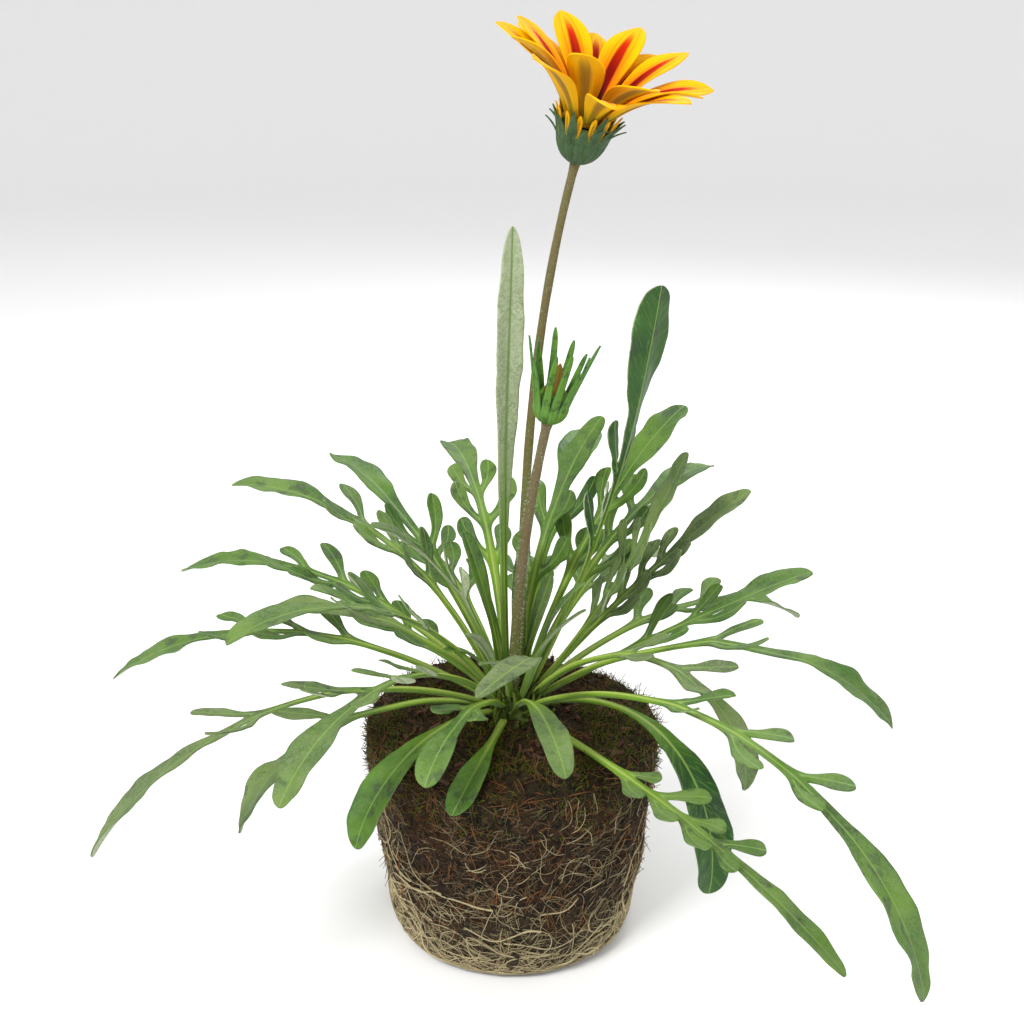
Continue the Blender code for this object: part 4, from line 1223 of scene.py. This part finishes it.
# Turned profiles are (radius, height) pairs and outlines are (share of length, half width), in millimetres.
CUP_ROWS = [
    (0.0, 12.4), (6.0, 12.4), (8.0, 12.9), (8.7, 13.2), (9.0, 12.6), (8.9, 11.2), (8.7, 9.6), (8.4, 8.0),
    (8.0, 6.4), (7.3, 4.8), (6.4, 3.3), (5.3, 2.0), (4.1, 1.1), (2.9, 0.45), (1.7, 0.1), (0.0, 0.0),
]
TOOTH_OUTLINE = [(0, 1.9), (0.30, 1.7), (0.60, 1.15), (0.85, 0.55), (1, 0.10)]
CLAW_OUTLINE = [(0, 0.5), (0.30, 0.85), (0.75, 0.95), (1, 0.3)]
SPUR_OUTLINE = [(0, 0.8), (0.5, 0.6), (1, 0.10)]


def make_cup(upright, matter):
    """The green cup of fused bracts, its upright teeth and a few narrow spurs that stand off its side."""
    green = matter["cup"]
    profile = [(r * MM, z * MM) for r, z in CUP_ROWS]
    parts = [lathe_object("cup_bell", profile, steps=168, ridges=BRACT_COUNT, depth=0.07, material=green)]
    columns = (-1, -0.55, 0, 0.55, 1)
    shares = [i / 10 for i in range(11)]
    widths = [interpolated(s, TOOTH_OUTLINE) * MM for s in shares]
    for k in range(BRACT_COUNT):
        angle = 2 * math.pi * (k + 0.5) / BRACT_COUNT
        long, flattens = (10.4, 16) if k % 2 else (7.6, 28)
        length = long * MM * (1 + 0.18 * math.sin(2.2 * k))
        path = bowed_path(
            shares, angle, start_radius=8.15 * MM, start_height=8.0 * MM, rise=78, flattens=flattens,
            length=length, sway=0.08 * math.sin(k),
        )
        parts.append(blade_object(f"tooth_{k}", path, widths, shallow, columns, 0.45 * MM, (green,)))
    widths = [interpolated(s, SPUR_OUTLINE) * MM for s in shares]
    for k in range(SPUR_COUNT):
        path = bowed_path(
            shares, k * GOLDEN_ANGLE, start_radius=8.3 * MM, start_height=(7.5 + 1.0 * (k % 4)) * MM, rise=56,
            flattens=24, length=(6 + k % 3) * MM, sway=0.2,
        )
        parts.append(blade_object(f"spur_{k}", path, widths, shallow, (-1, 0, 1), 0.4 * MM, (green,)))
    cup = joined("calyx_cup", parts)
    cup.data.transform(upright)
    keep(cup, "cup", "bloom_cup")


def shallow(side, _):
    """The height across a bract: a shallow gutter, alike at every share of its length."""
    return 0.32 * side * side - 0.08


# A ray's outline is in shares of its largest half width.
RAY_COLUMNS = [i / 8 - 1 for i in range(17)]
RAY_OUTLINE = [
    (0, 0.34), (0.12, 0.42), (0.24, 0.58), (0.38, 0.78), (0.52, 0.94), (0.64, 1.0), (0.76, 0.95),
    (0.86, 0.76), (0.93, 0.50), (0.97, 0.28), (0.99, 0.13), (1, 0.04),
]
HUB_ROWS = [(0.0, 2.4), (5.6, 2.4), (6.9, 2.1), (7.6, 1.2), (7.9, 0.2), (7.0, 0.0), (0.0, 0.0)]


def ray_fold(k):
    """How a ray is folded across: a gutter, a keel line, two pleats and a waved edge."""
    def lift(side, share):
        gutter = 0.17 * side * side * (1.2 - share)
        keel = -0.16 * math.exp(-((side / 0.12) ** 2)) * (1.05 - share)
        pleat = -0.095 * math.exp(-(((abs(side) - 0.48) / 0.14) ** 2)) * (1.1 - 0.6 * share)
        edge = 0.07 * abs(side) ** 3 * math.sin(8 * share + 1.7 * k + 2 * side)
        return gutter + keel + pleat + edge
    return lift


def make_rays(upright, floor, matter):
    """Sixteen rays in two rows, the yellow claws between the cup's teeth, and the hub that they stand on."""
    parts = []
    shares = [i / 24 for i in range(25)]
    widths = [interpolated(s, RAY_OUTLINE) * RAY_HALF_WIDTH for s in shares]
    materials = (matter["ray_top"], matter["ray_under"])
    for k in range(RAY_COUNT):
        angle = 2 * math.pi * k / RAY_COUNT
        inner = k % 2
        wobble = math.sin(2.3 * k)
        length = RAY_LENGTH * (0.97 + 0.05 * wobble)
        front = max(0.0, -math.sin(angle))
        rise = RAY_RISE_DEG + INNER_RAY_STEEPER_DEG * inner + 2 * wobble - FRONT_RAYS_LOWER_DEG * front
        flattens = RAY_FLATTENS_DEG + 6 * math.sin(1.9 * k + 1)
        height = floor + (1.9 if inner else 1.0) * MM
        start = RAY_START_RADIUS - (0.3 * MM if inner else 0.0)
        path = bowed_path(shares, angle, start, height, rise, flattens, length, sway=0.05 * math.sin(5.1 * k))
        twist = 0.26 * math.sin(3.7 * k + 0.5)
        fold = ray_fold(k)
        ray = blade_object(f"ray_{k}", path, widths, fold, RAY_COLUMNS, RAY_THICKNESS, materials, twist)
        parts.append(ray)
    claws = [i / 8 for i in range(9)]
    widths = [interpolated(s, CLAW_OUTLINE) * MM for s in claws]
    for k in range(BRACT_COUNT):
        angle = 2 * math.pi * k / BRACT_COUNT
        path = bowed_path(
            claws, angle, start_radius=8.5 * MM, start_height=9.8 * MM, rise=84, flattens=22, length=8.0 * MM,
        )
        claw = blade_object(f"claw_{k}", path, widths, shallow, (-1, 0, 1), 0.4 * MM, (matter["ray_under"],))
        parts.append(claw)
    profile = [(r * MM, floor + z * MM) for r, z in HUB_ROWS]
    hub = lathe_object("ray_hub", profile, steps=48, ridges=RAY_COUNT, depth=0.04, material=matter["hub"])
    parts.append(hub)
    petals = joined("petals", parts)
    petals.data.transform(upright)
    keep(petals, "ray", "bloom_rays")


def make_disc(upright, floor, matter):
    """The disc: a low dome set with florets in a spiral, closed in the middle and open at the edge."""
    base = floor + HUB_HEIGHT + TOUCH_GAP
    rows = []
    for i in range(10):
        out = DISC_RADIUS * math.sin(0.5 * math.pi * i / 9)
        rows.append((out, base + DISC_HEIGHT * (1 - 0.85 * (out / DISC_RADIUS) ** 2)))
    rows += [(DISC_RADIUS * 0.98, base), (0.0, base)]
    dome = lathe_object("disc_dome", rows, steps=40, ridges=1, depth=0.0, material=matter["floret"])
    sprigs = []
    for k in range(FLORET_COUNT):
        out = 0.98 * DISC_RADIUS * math.sqrt((k + 0.5) / FLORET_COUNT)
        share = out / DISC_RADIUS
        across, up = math.cos(k * GOLDEN_ANGLE), math.sin(k * GOLDEN_ANGLE)
        top = base + DISC_HEIGHT * (1 - 0.85 * share**2)
        place = (out * across, out * up, top - 0.4 * MM)
        sprigs.append((place, (across * share * 0.45, up * share * 0.45, 1.0), 0.75 + 0.45 * share, share))
    florets = tufts("florets", FLORET, sprigs, matter["floret"])
    disc = joined("disc_florets", [dome, florets])
    disc.data.transform(upright)
    keep(disc, "disc", "bloom_disc")


BUD_URN_ROWS = [
    (0.0, 12.0), (2.6, 12.0), (4.2, 11.2), (5.3, 9.2), (5.9, 7.2), (6.1, 5.4), (5.7, 3.8), (4.9, 2.2),
    (3.8, 1.1), (2.6, 0.4), (1.2, 0.1), (0.0, 0.0),
]
BUD_CONE_ROWS = [
    (0.0, 21.0), (0.5, 20.4), (1.1, 19.2), (1.8, 17.2), (2.5, 15.0), (3.2, 12.8), (3.9, 11.0), (0.0, 9.0),
]
BUD_BRACT_OUTLINE = [(0, 1.45), (0.25, 1.3), (0.55, 1.1), (0.87, 0.84), (0.96, 0.58), (1, 0.20)]


def make_bud(matter):
    """The closed bud: furled petals inside a crown of long narrow bracts."""
    line, forward = scape_line(BUD_SCAPE, HEAD_LINE_POINTS)
    upright = head_matrix(line[-1], forward, 0)
    urn = [(r * MM, z * MM) for r, z in BUD_URN_ROWS]
    cone = [(r * MM, z * MM) for r, z in BUD_CONE_ROWS]
    parts = [
        lathe_object("bud_urn", urn, steps=144, ridges=BUD_BRACTS, depth=0.08, material=matter["bud"]),
        lathe_object("bud_petals", cone, steps=72, ridges=6, depth=0.12, material=matter["closed"]),
    ]
    shares = [i / 16 for i in range(17)]
    widths = [interpolated(s, BUD_BRACT_OUTLINE) * MM for s in shares]
    columns = (-1, -0.5, 0, 0.5, 1)
    for k in range(BUD_BRACTS):
        angle = 2 * math.pi * (k + 0.5) / BUD_BRACTS
        path = bowed_path(
            shares, angle, start_radius=4.6 * MM, start_height=2.6 * MM, rise=BUD_BRACT_RISE_DEG,
            flattens=BUD_BRACT_SPREADS_DEG[k % 3], length=BUD_BRACT_LENGTH * (1.0 + 0.13 * math.sin(2.1 * k)),
            sway=0.05 * math.sin(1.3 * k),
        )
        name = f"bud_bract_{k}"
        parts.append(blade_object(name, path, widths, shallow, columns, 0.55 * MM, (matter["bud"],)))
    bud = joined("closed_bud", parts)
    bud.data.transform(upright)
    keep(bud, "bud", "bud_head")


# Root ball


def ball_radius(height):
    """The ball's radius at a height: rounded in at the foot, then the straight taper of a nursery pot."""
    if height < BALL_FOOT_HEIGHT:
        drop = 1 - height / BALL_FOOT_HEIGHT
        return BALL_BASE_RADIUS + (BALL_FOOT_RADIUS - BALL_BASE_RADIUS) * math.sqrt(1 - drop * drop)
    rise = (height - BALL_FOOT_HEIGHT) / (BALL_RIM_HEIGHT - BALL_FOOT_HEIGHT)
    return BALL_FOOT_RADIUS + (BALL_RIM_RADIUS - BALL_FOOT_RADIUS) * rise


def soil_relief(angle, height):
    """How far the ball's surface stands out of its plain shape: slow lumps, none at the very foot."""
    lumps = (
        math.sin(5 * angle + 90 * height)
        + math.sin(8 * angle - 140 * height + 1.3)
        + math.sin(3 * angle + 210 * height + 2.1)
    )
    fade = min(1.0, height / (6 * MM))
    return BALL_RELIEF * fade * lumps / 3


def top_height(angle, out):
    """Height of the soil's top at a distance from the axis: a mound round the crown and a worn rim."""
    share = out / BALL_RIM_RADIUS
    worn = 1.6 * MM * share**4 * (1 + math.sin(2 * angle + 0.4))
    rim = 3.0 * MM * max(0.0, (share - 0.78) / 0.22) ** 2
    mound = 4.5 * MM * max(0.0, 1 - (out - 13 * MM) / (12 * MM)) ** 2
    return SOIL_TOP + 0.9 * soil_relief(angle, SOIL_TOP) - worn - rim + mound


def on_top(angle, out, lift=0.0):
    """A place on the ball's top, lift above its surface."""
    return Vector((out * math.cos(angle), out * math.sin(angle), top_height(angle, out) + lift))


def on_side(angle, value, lift=0.0):
    """A place on the ball's side, lift off its surface; value is its height before the rim wore round."""
    out = ball_radius(value) + soil_relief(angle, value) + lift
    height = value
    if value > SHOULDER_HEIGHT:
        blend = ((value - SHOULDER_HEIGHT) / (BALL_RIM_HEIGHT - SHOULDER_HEIGHT)) ** 2
        height = value * (1 - blend) + top_height(angle, WORN_RIM * BALL_RIM_RADIUS) * blend
        out -= RIM_SHRINK * blend
    return Vector((out * math.cos(angle), out * math.sin(angle), height))


def crumbs(place, size):
    """Roughness of the peat at a place, -1 to 1: big crumbs with smaller ones on them."""
    p = place * (1 / size)
    return 0.6 * noise.noise(p) + 0.3 * noise.noise(p * 2.3) + 0.18 * noise.noise(p * 5.1)


def make_peat(matter):
    """The peat ball's surface, with crumbs and fibres standing up from the shape that the pot left."""
    steps = PEAT_STEPS_ROUND
    rows = []
    reach = PEAT_TOP_EDGE * BALL_RIM_RADIUS - PEAT_HOLLOW_RADIUS
    for i in range(PEAT_TOP_ROWS):
        rows.append(("top", PEAT_HOLLOW_RADIUS + reach * i / (PEAT_TOP_ROWS - 1)))
    for i in range(1, PEAT_SIDE_ROWS):
        rows.append(("side", BALL_RIM_HEIGHT * (1 - i / (PEAT_SIDE_ROWS - 1))))
    points = [(0.0, 0.0, PEAT_HOLLOW_BOTTOM)]
    for kind, value in rows:
        for k in range(steps):
            angle = 2 * math.pi * k / steps
            if kind == "top":
                spot = on_top(angle, value)
            else:
                spot = on_side(angle, value)
            rough = crumbs(spot, 7 * MM) * 1.0 * MM + crumbs(spot, 2.6 * MM) * 0.55 * MM
            fade = min(1.0, spot.z / (5 * MM))
            if kind == "top":
                spot.z += rough * 1.5
            else:
                scale = 1 + rough * fade / math.hypot(spot.x, spot.y)
                spot.x *= scale
                spot.y *= scale
            points.append(spot)
    faces = [(0, 1 + (k + 1) % steps, 1 + k) for k in range(steps)]
    for face in grid_faces(len(rows), steps, closed_across=True):
        faces.append(tuple(1 + i for i in face[::-1]))
    last = len(points) - steps
    points.append((0.0, 0.0, PEAT_FOOT_DISH))
    for k in range(steps):
        faces.append((last + k, last + (k + 1) % steps, len(points) - 1))
    peat = mesh_object("peat_ball", points, faces, materials=(matter["peat"],))
    welded(peat.data)
    keep(peat, "soil", "soil_ball")


def root_chain(draw, angle, height, heading, length, radius, wander, lift):
    """A root that wanders over the ball from a place and heading, and thins towards its tip."""
    count = max(5, int(length / ROOT_STEP))
    places, radii = [], []
    bend = 0.0
    for i in range(count):
        places.append(on_side(angle, height, lift + 0.3 * MM * math.sin(i * 0.5 + angle * 7)))
        radii.append(radius * (1.0 - 0.65 * i / count))
        bend = 0.75 * bend + draw.normal(0, wander)
        heading += bend
        height += math.sin(heading) * ROOT_STEP
        angle += math.cos(heading) * ROOT_STEP / ball_radius(max(height, 1 * MM))
        if height < ROOT_LOWEST:
            height = ROOT_LOWEST
            heading = draw.normal(0, 0.2) + (math.pi if math.cos(heading) < 0 else 0.0)
        if height > ROOT_HIGHEST:
            heading = -abs(heading)
            height = ROOT_HIGHEST
    return places, radii


RootKind = namedtuple("RootKind", "name count lowest span crowd lengths radii wander lift tones sides")

# Heights and lengths in millimetres; crowd above 1 gathers the roots low on the ball.
ROOT_KINDS = [
    RootKind("roots_thick", 74, 2.5, 34, 1.9, (34, 90), (0.24, 0.44), 0.075, 0.35, (0.45, 1.0), 6),
    RootKind("roots_thin", 620, 2.4, 66, 2.1, (12, 42), (0.11, 0.22), 0.15, 0.22, (0.2, 0.95), 4),
    RootKind("roots_fuzz", 3600, 2.4, 74, 1.1, (6, 13), (0.05, 0.09), 0.22, 0.10, (0.0, 0.5), 3),
    RootKind("roots_foot", 260, 2.3, 10, 1.2, (16, 50), (0.12, 0.30), 0.09, 0.25, (0.3, 1.0), 4),
]


def make_roots(matter):
    """Roots matted on the ball: stout ones low down, thin ones, a haze of fine ones, a mat at the foot."""
    for number, kind in enumerate(ROOT_KINDS):
        draw = np.random.default_rng(20 + number)
        chains, tones = [], []
        for _ in range(kind.count):
            angle = draw.uniform(0, 2 * math.pi)
            height = (kind.lowest + kind.span * draw.random() ** kind.crowd) * MM
            heading = draw.normal(0, 0.35) + (math.pi if draw.random() < 0.5 else 0.0)
            if kind.sides < 6 and height > 12 * MM and draw.random() < 0.6:
                heading = draw.uniform(0, 2 * math.pi)
            elif kind.sides == 6 and draw.random() < 0.2:
                heading = -math.pi / 2 + draw.normal(0, 0.3)
                height += draw.uniform(0, 26) * MM
            length = draw.uniform(*kind.lengths) * MM
            radius = draw.uniform(*kind.radii) * MM
            chain = root_chain(draw, angle, height, heading, length, radius, kind.wander, kind.lift * MM)
            chains.append(chain)
            tones.append(draw.uniform(*kind.tones))
        roots = strands(kind.name, chains, tones, kind.sides, matter["root"])
        if number == 0:
            keep(roots, "root", "root_net")
        else:
            keep(roots, "root")


def rim_share(draw, low, high):
    """A random distance from the axis, even over the top's area between two shares of that area."""
    return BALL_RIM_RADIUS * math.sqrt(draw.uniform(low, high))


def make_moss(draw, material):
    """Moss in patches on the top, and hanging over the shoulder."""
    sprigs = []
    for _ in range(MOSS_COUNT):
        angle = draw.uniform(0, 2 * math.pi)
        out = rim_share(draw, 0.075, 0.94)
        density = noise.noise(Vector((out * math.cos(angle), out * math.sin(angle), 0)) * MOSS_PATCHES)
        if density < draw.uniform(-0.30, 0.22):
            continue
        if draw.random() < MOSS_ON_SHOULDER:
            spot = on_side(angle, draw.uniform(64, 79) * MM, -0.4 * MM)
            aim = Vector((math.cos(angle), math.sin(angle), draw.uniform(-0.2, 1.2)))
        else:
            spot = on_top(angle, out, -0.4 * MM)
            aim = Vector((draw.normal(0, 0.7), draw.normal(0, 0.7), 1.0))
        # Painted light: the moss gets lighter tones on the side towards the key lamp
        painted_light = max(0.0, math.cos(angle - MOSS_PAINTED_LIGHT_ANGLE)) ** 8
        sprigs.append((spot, aim, draw.uniform(0.5, 1.4), draw.random() * (0.65 + 0.35 * painted_light)))
    keep(tufts("moss", MOSS_SPRIG, sprigs, material), "soil")


def make_peat_fibres(draw, material):
    """Short fibres that lie on the top in any direction, and flat against the side."""
    sprigs = []
    for _ in range(FIBRE_COUNT):
        angle = draw.uniform(0, 2 * math.pi)
        if draw.random() < FIBRES_ON_TOP:
            spot = on_top(angle, rim_share(draw, 0.085, 0.94), -0.1 * MM)
            aim = Vector((draw.normal(0, 1), draw.normal(0, 1), abs(draw.normal(0, 0.35))))
        else:
            spot = on_side(angle, (78 - 60 * draw.random() ** 1.4) * MM, -0.1 * MM)
            turn = draw.uniform(0, 2 * math.pi)
            flat = beside(angle) * math.cos(turn) + UP * math.sin(turn)
            aim = flat + direction(angle) * abs(draw.normal(0, 0.16))
        sprigs.append((spot, aim, draw.uniform(0.4, 1.5), draw.random()))
    keep(tufts("peat_fibres", PEAT_FIBRE, sprigs, material), "soil")


def make_bark_crumbs(draw, material):
    """Blunt crumbs of bark strewn over the top."""
    sprigs = []
    for _ in range(BARK_COUNT):
        angle = draw.uniform(0, 2 * math.pi)
        spot = on_top(angle, rim_share(draw, 0.09, 0.84), 0.2 * MM)
        aim = Vector((draw.normal(0, 1), draw.normal(0, 1), draw.normal(0, 0.25)))
        sprigs.append((spot, aim, draw.uniform(0.5, 1.5), draw.random()))
    keep(tufts("bark_crumbs", BARK_CRUMB, sprigs, material), "soil")


def make_litter(matter):
    """What lies and grows on the peat; the three kinds share one seeded draw."""
    draw = np.random.default_rng(31)
    make_moss(draw, matter["moss"])
    make_peat_fibres(draw, matter["fibre"])
    make_bark_crumbs(draw, matter["bark"])


def make_crown(matter):
    """The crown: a lumpy fleshy stem with the green stubs of old leaf bases over its upper half."""
    flesh = CROWN_RADIUS * 0.985
    rows = []
    for i in range(40):
        lat = math.pi / 2 - math.pi * i / 39
        rows.append((flesh * math.cos(lat), CROWN_CENTRE.z + flesh * math.sin(lat)))
    crown = lathe_object("crown_stem", rows, steps=80, ridges=1, depth=0.0, material=matter["crown"])
    for vertex in crown.data.vertices:
        out = (vertex.co - CROWN_CENTRE).normalized()
        vertex.co += out * 0.9 * MM * (crumbs(vertex.co, 6 * MM) - 0.3)
    draw = np.random.default_rng(5)
    sprigs = []
    for k in range(LEAF_BASE_COUNT):
        lat = math.radians(draw.uniform(20, 84))
        out = direction(k * GOLDEN_ANGLE, lat)
        spot = CROWN_CENTRE + out * (CROWN_RADIUS - 0.9 * MM)
        aim = out + UP * draw.uniform(0.4, 1.6)
        sprigs.append((spot, aim, draw.uniform(0.6, 1.5), draw.random()))
    stubs = tufts("old_leaf_bases", OLD_LEAF_BASE, sprigs, matter["stub"])
    keep(crown, "crown", "crown")
    keep(stubs, "crown")


# Floor, light and camera


def make_stage():
    """A round pale floor that curves up into a wall on all sides, an even sky and three soft lamps."""
    floor_material, _, shader = new_material("pale_floor", roughness=0.9, specular=0.05)
    shader.inputs["Base Color"].default_value = (FLOOR_GREY, FLOOR_GREY, FLOOR_GREY, 1.0)
    profile = [(0.0, 0.0), (FLOOR_RADIUS, 0.0)]
    for i in range(1, FLOOR_BEND_STEPS + 1):
        turn = 0.5 * math.pi * i / FLOOR_BEND_STEPS
        out = FLOOR_RADIUS + FLOOR_CURVE * math.sin(turn)
        profile.append((out, FLOOR_CURVE * (1 - math.cos(turn))))
    profile.append((FLOOR_RADIUS + FLOOR_CURVE, WALL_HEIGHT))
    floor = lathe_object("floor", profile, steps=128, ridges=1, depth=0.0, material=floor_material)
    world = bpy.data.worlds.new("studio")
    world.use_nodes = True
    background = world.node_tree.nodes["Background"]
    background.inputs[0].default_value = (1.0, 1.0, 1.0, 1.0)
    background.inputs[1].default_value = SKY_STRENGTH
    bpy.context.scene.world = world
    bpy.context.scene.view_settings.view_transform = "Standard"
    for lamp in LAMPS:
        light = bpy.data.lights.new(lamp.name, "AREA")
        light.size = lamp.size
        light.energy = lamp.power
        obj = bpy.data.objects.new(lamp.name, light)
        obj.location = lamp.place
        obj.rotation_euler = (LIT_POINT - Vector(lamp.place)).to_track_quat("-Z", "Y").to_euler()
        bpy.context.scene.collection.objects.link(obj)


def make_camera():
    """The photograph's view: a little above the plant, looking down at it."""
    lens = bpy.data.cameras.new("camera")
    lens.sensor_width = CAMERA_SENSOR_MM
    lens.lens = CAMERA_LENS_MM
    lens.clip_start = 0.01
    camera = bpy.data.objects.new("camera", lens)
    camera.location = CAMERA_PLACE
    camera.rotation_euler = Euler((math.radians(90 - CAMERA_DOWN_DEG), 0.0, 0.0))
    bpy.context.scene.collection.objects.link(camera)
    bpy.context.scene.camera = camera


def make_materials():
    return {
        "leaf_top": leaf_top_material(),
        "leaf_under": leaf_under_material(),
        "ray_top": ray_top_material(),
        "ray_under": ray_under_material(),
        "hub": strand_material("ray_hub", (0.060, 0.030, 0.004), (0.380, 0.190, 0.006)),
        "cup": bract_material(
            "cup_green", fresh=(0.040, 0.090, 0.012), blue=(0.026, 0.064, 0.024), edge=(0.075, 0.130, 0.050),
        ),
        "bud": bract_material(
            "bud_green", fresh=(0.125, 0.270, 0.005), blue=(0.070, 0.190, 0.014), edge=(0.016, 0.095, 0.044),
        ),
        "closed": closed_petal_material(),
        "floret": floret_material(),
        "bloom_stalk": stalk_material("bloom_stalk", (0.075, 0.110, 0.008), (0.110, 0.078, 0.026), 150 * MM),
        "bud_stalk": stalk_material("bud_stalk", (0.075, 0.105, 0.010), (0.120, 0.080, 0.040), 100 * MM),
        "down": hair_material(),
        "peat": peat_material(),
        "root": strand_material("root_skin", (0.070, 0.052, 0.028), (0.480, 0.400, 0.225)),
        "moss": strand_material("moss", (0.012, 0.024, 0.002), (0.165, 0.185, 0.008)),
        "fibre": strand_material("peat_fibre", (0.022, 0.012, 0.006), (0.210, 0.085, 0.022)),
        "bark": strand_material("bark", (0.014, 0.008, 0.005), (0.085, 0.036, 0.018)),
        "crown": crown_material(),
        "stub": strand_material("leaf_base", (0.040, 0.060, 0.006), (0.090, 0.130, 0.012)),
    }


def main():
    make_camera()
    make_stage()
    matter = make_materials()
    for number, leaf in enumerate(LEAVES + HEART_LEAVES, start=1):
        make_leaf(number, leaf, matter["leaf_top"], matter["leaf_under"])
    make_scape("bloom_stalk", "bloom_scape", BLOOM_SCAPE, matter)
    make_scape("bud_stalk", "bud_scape", BUD_SCAPE, matter)
    make_bloom(matter)
    make_bud(matter)
    make_peat(matter)
    make_roots(matter)
    make_litter(matter)
    make_crown(matter)


main()
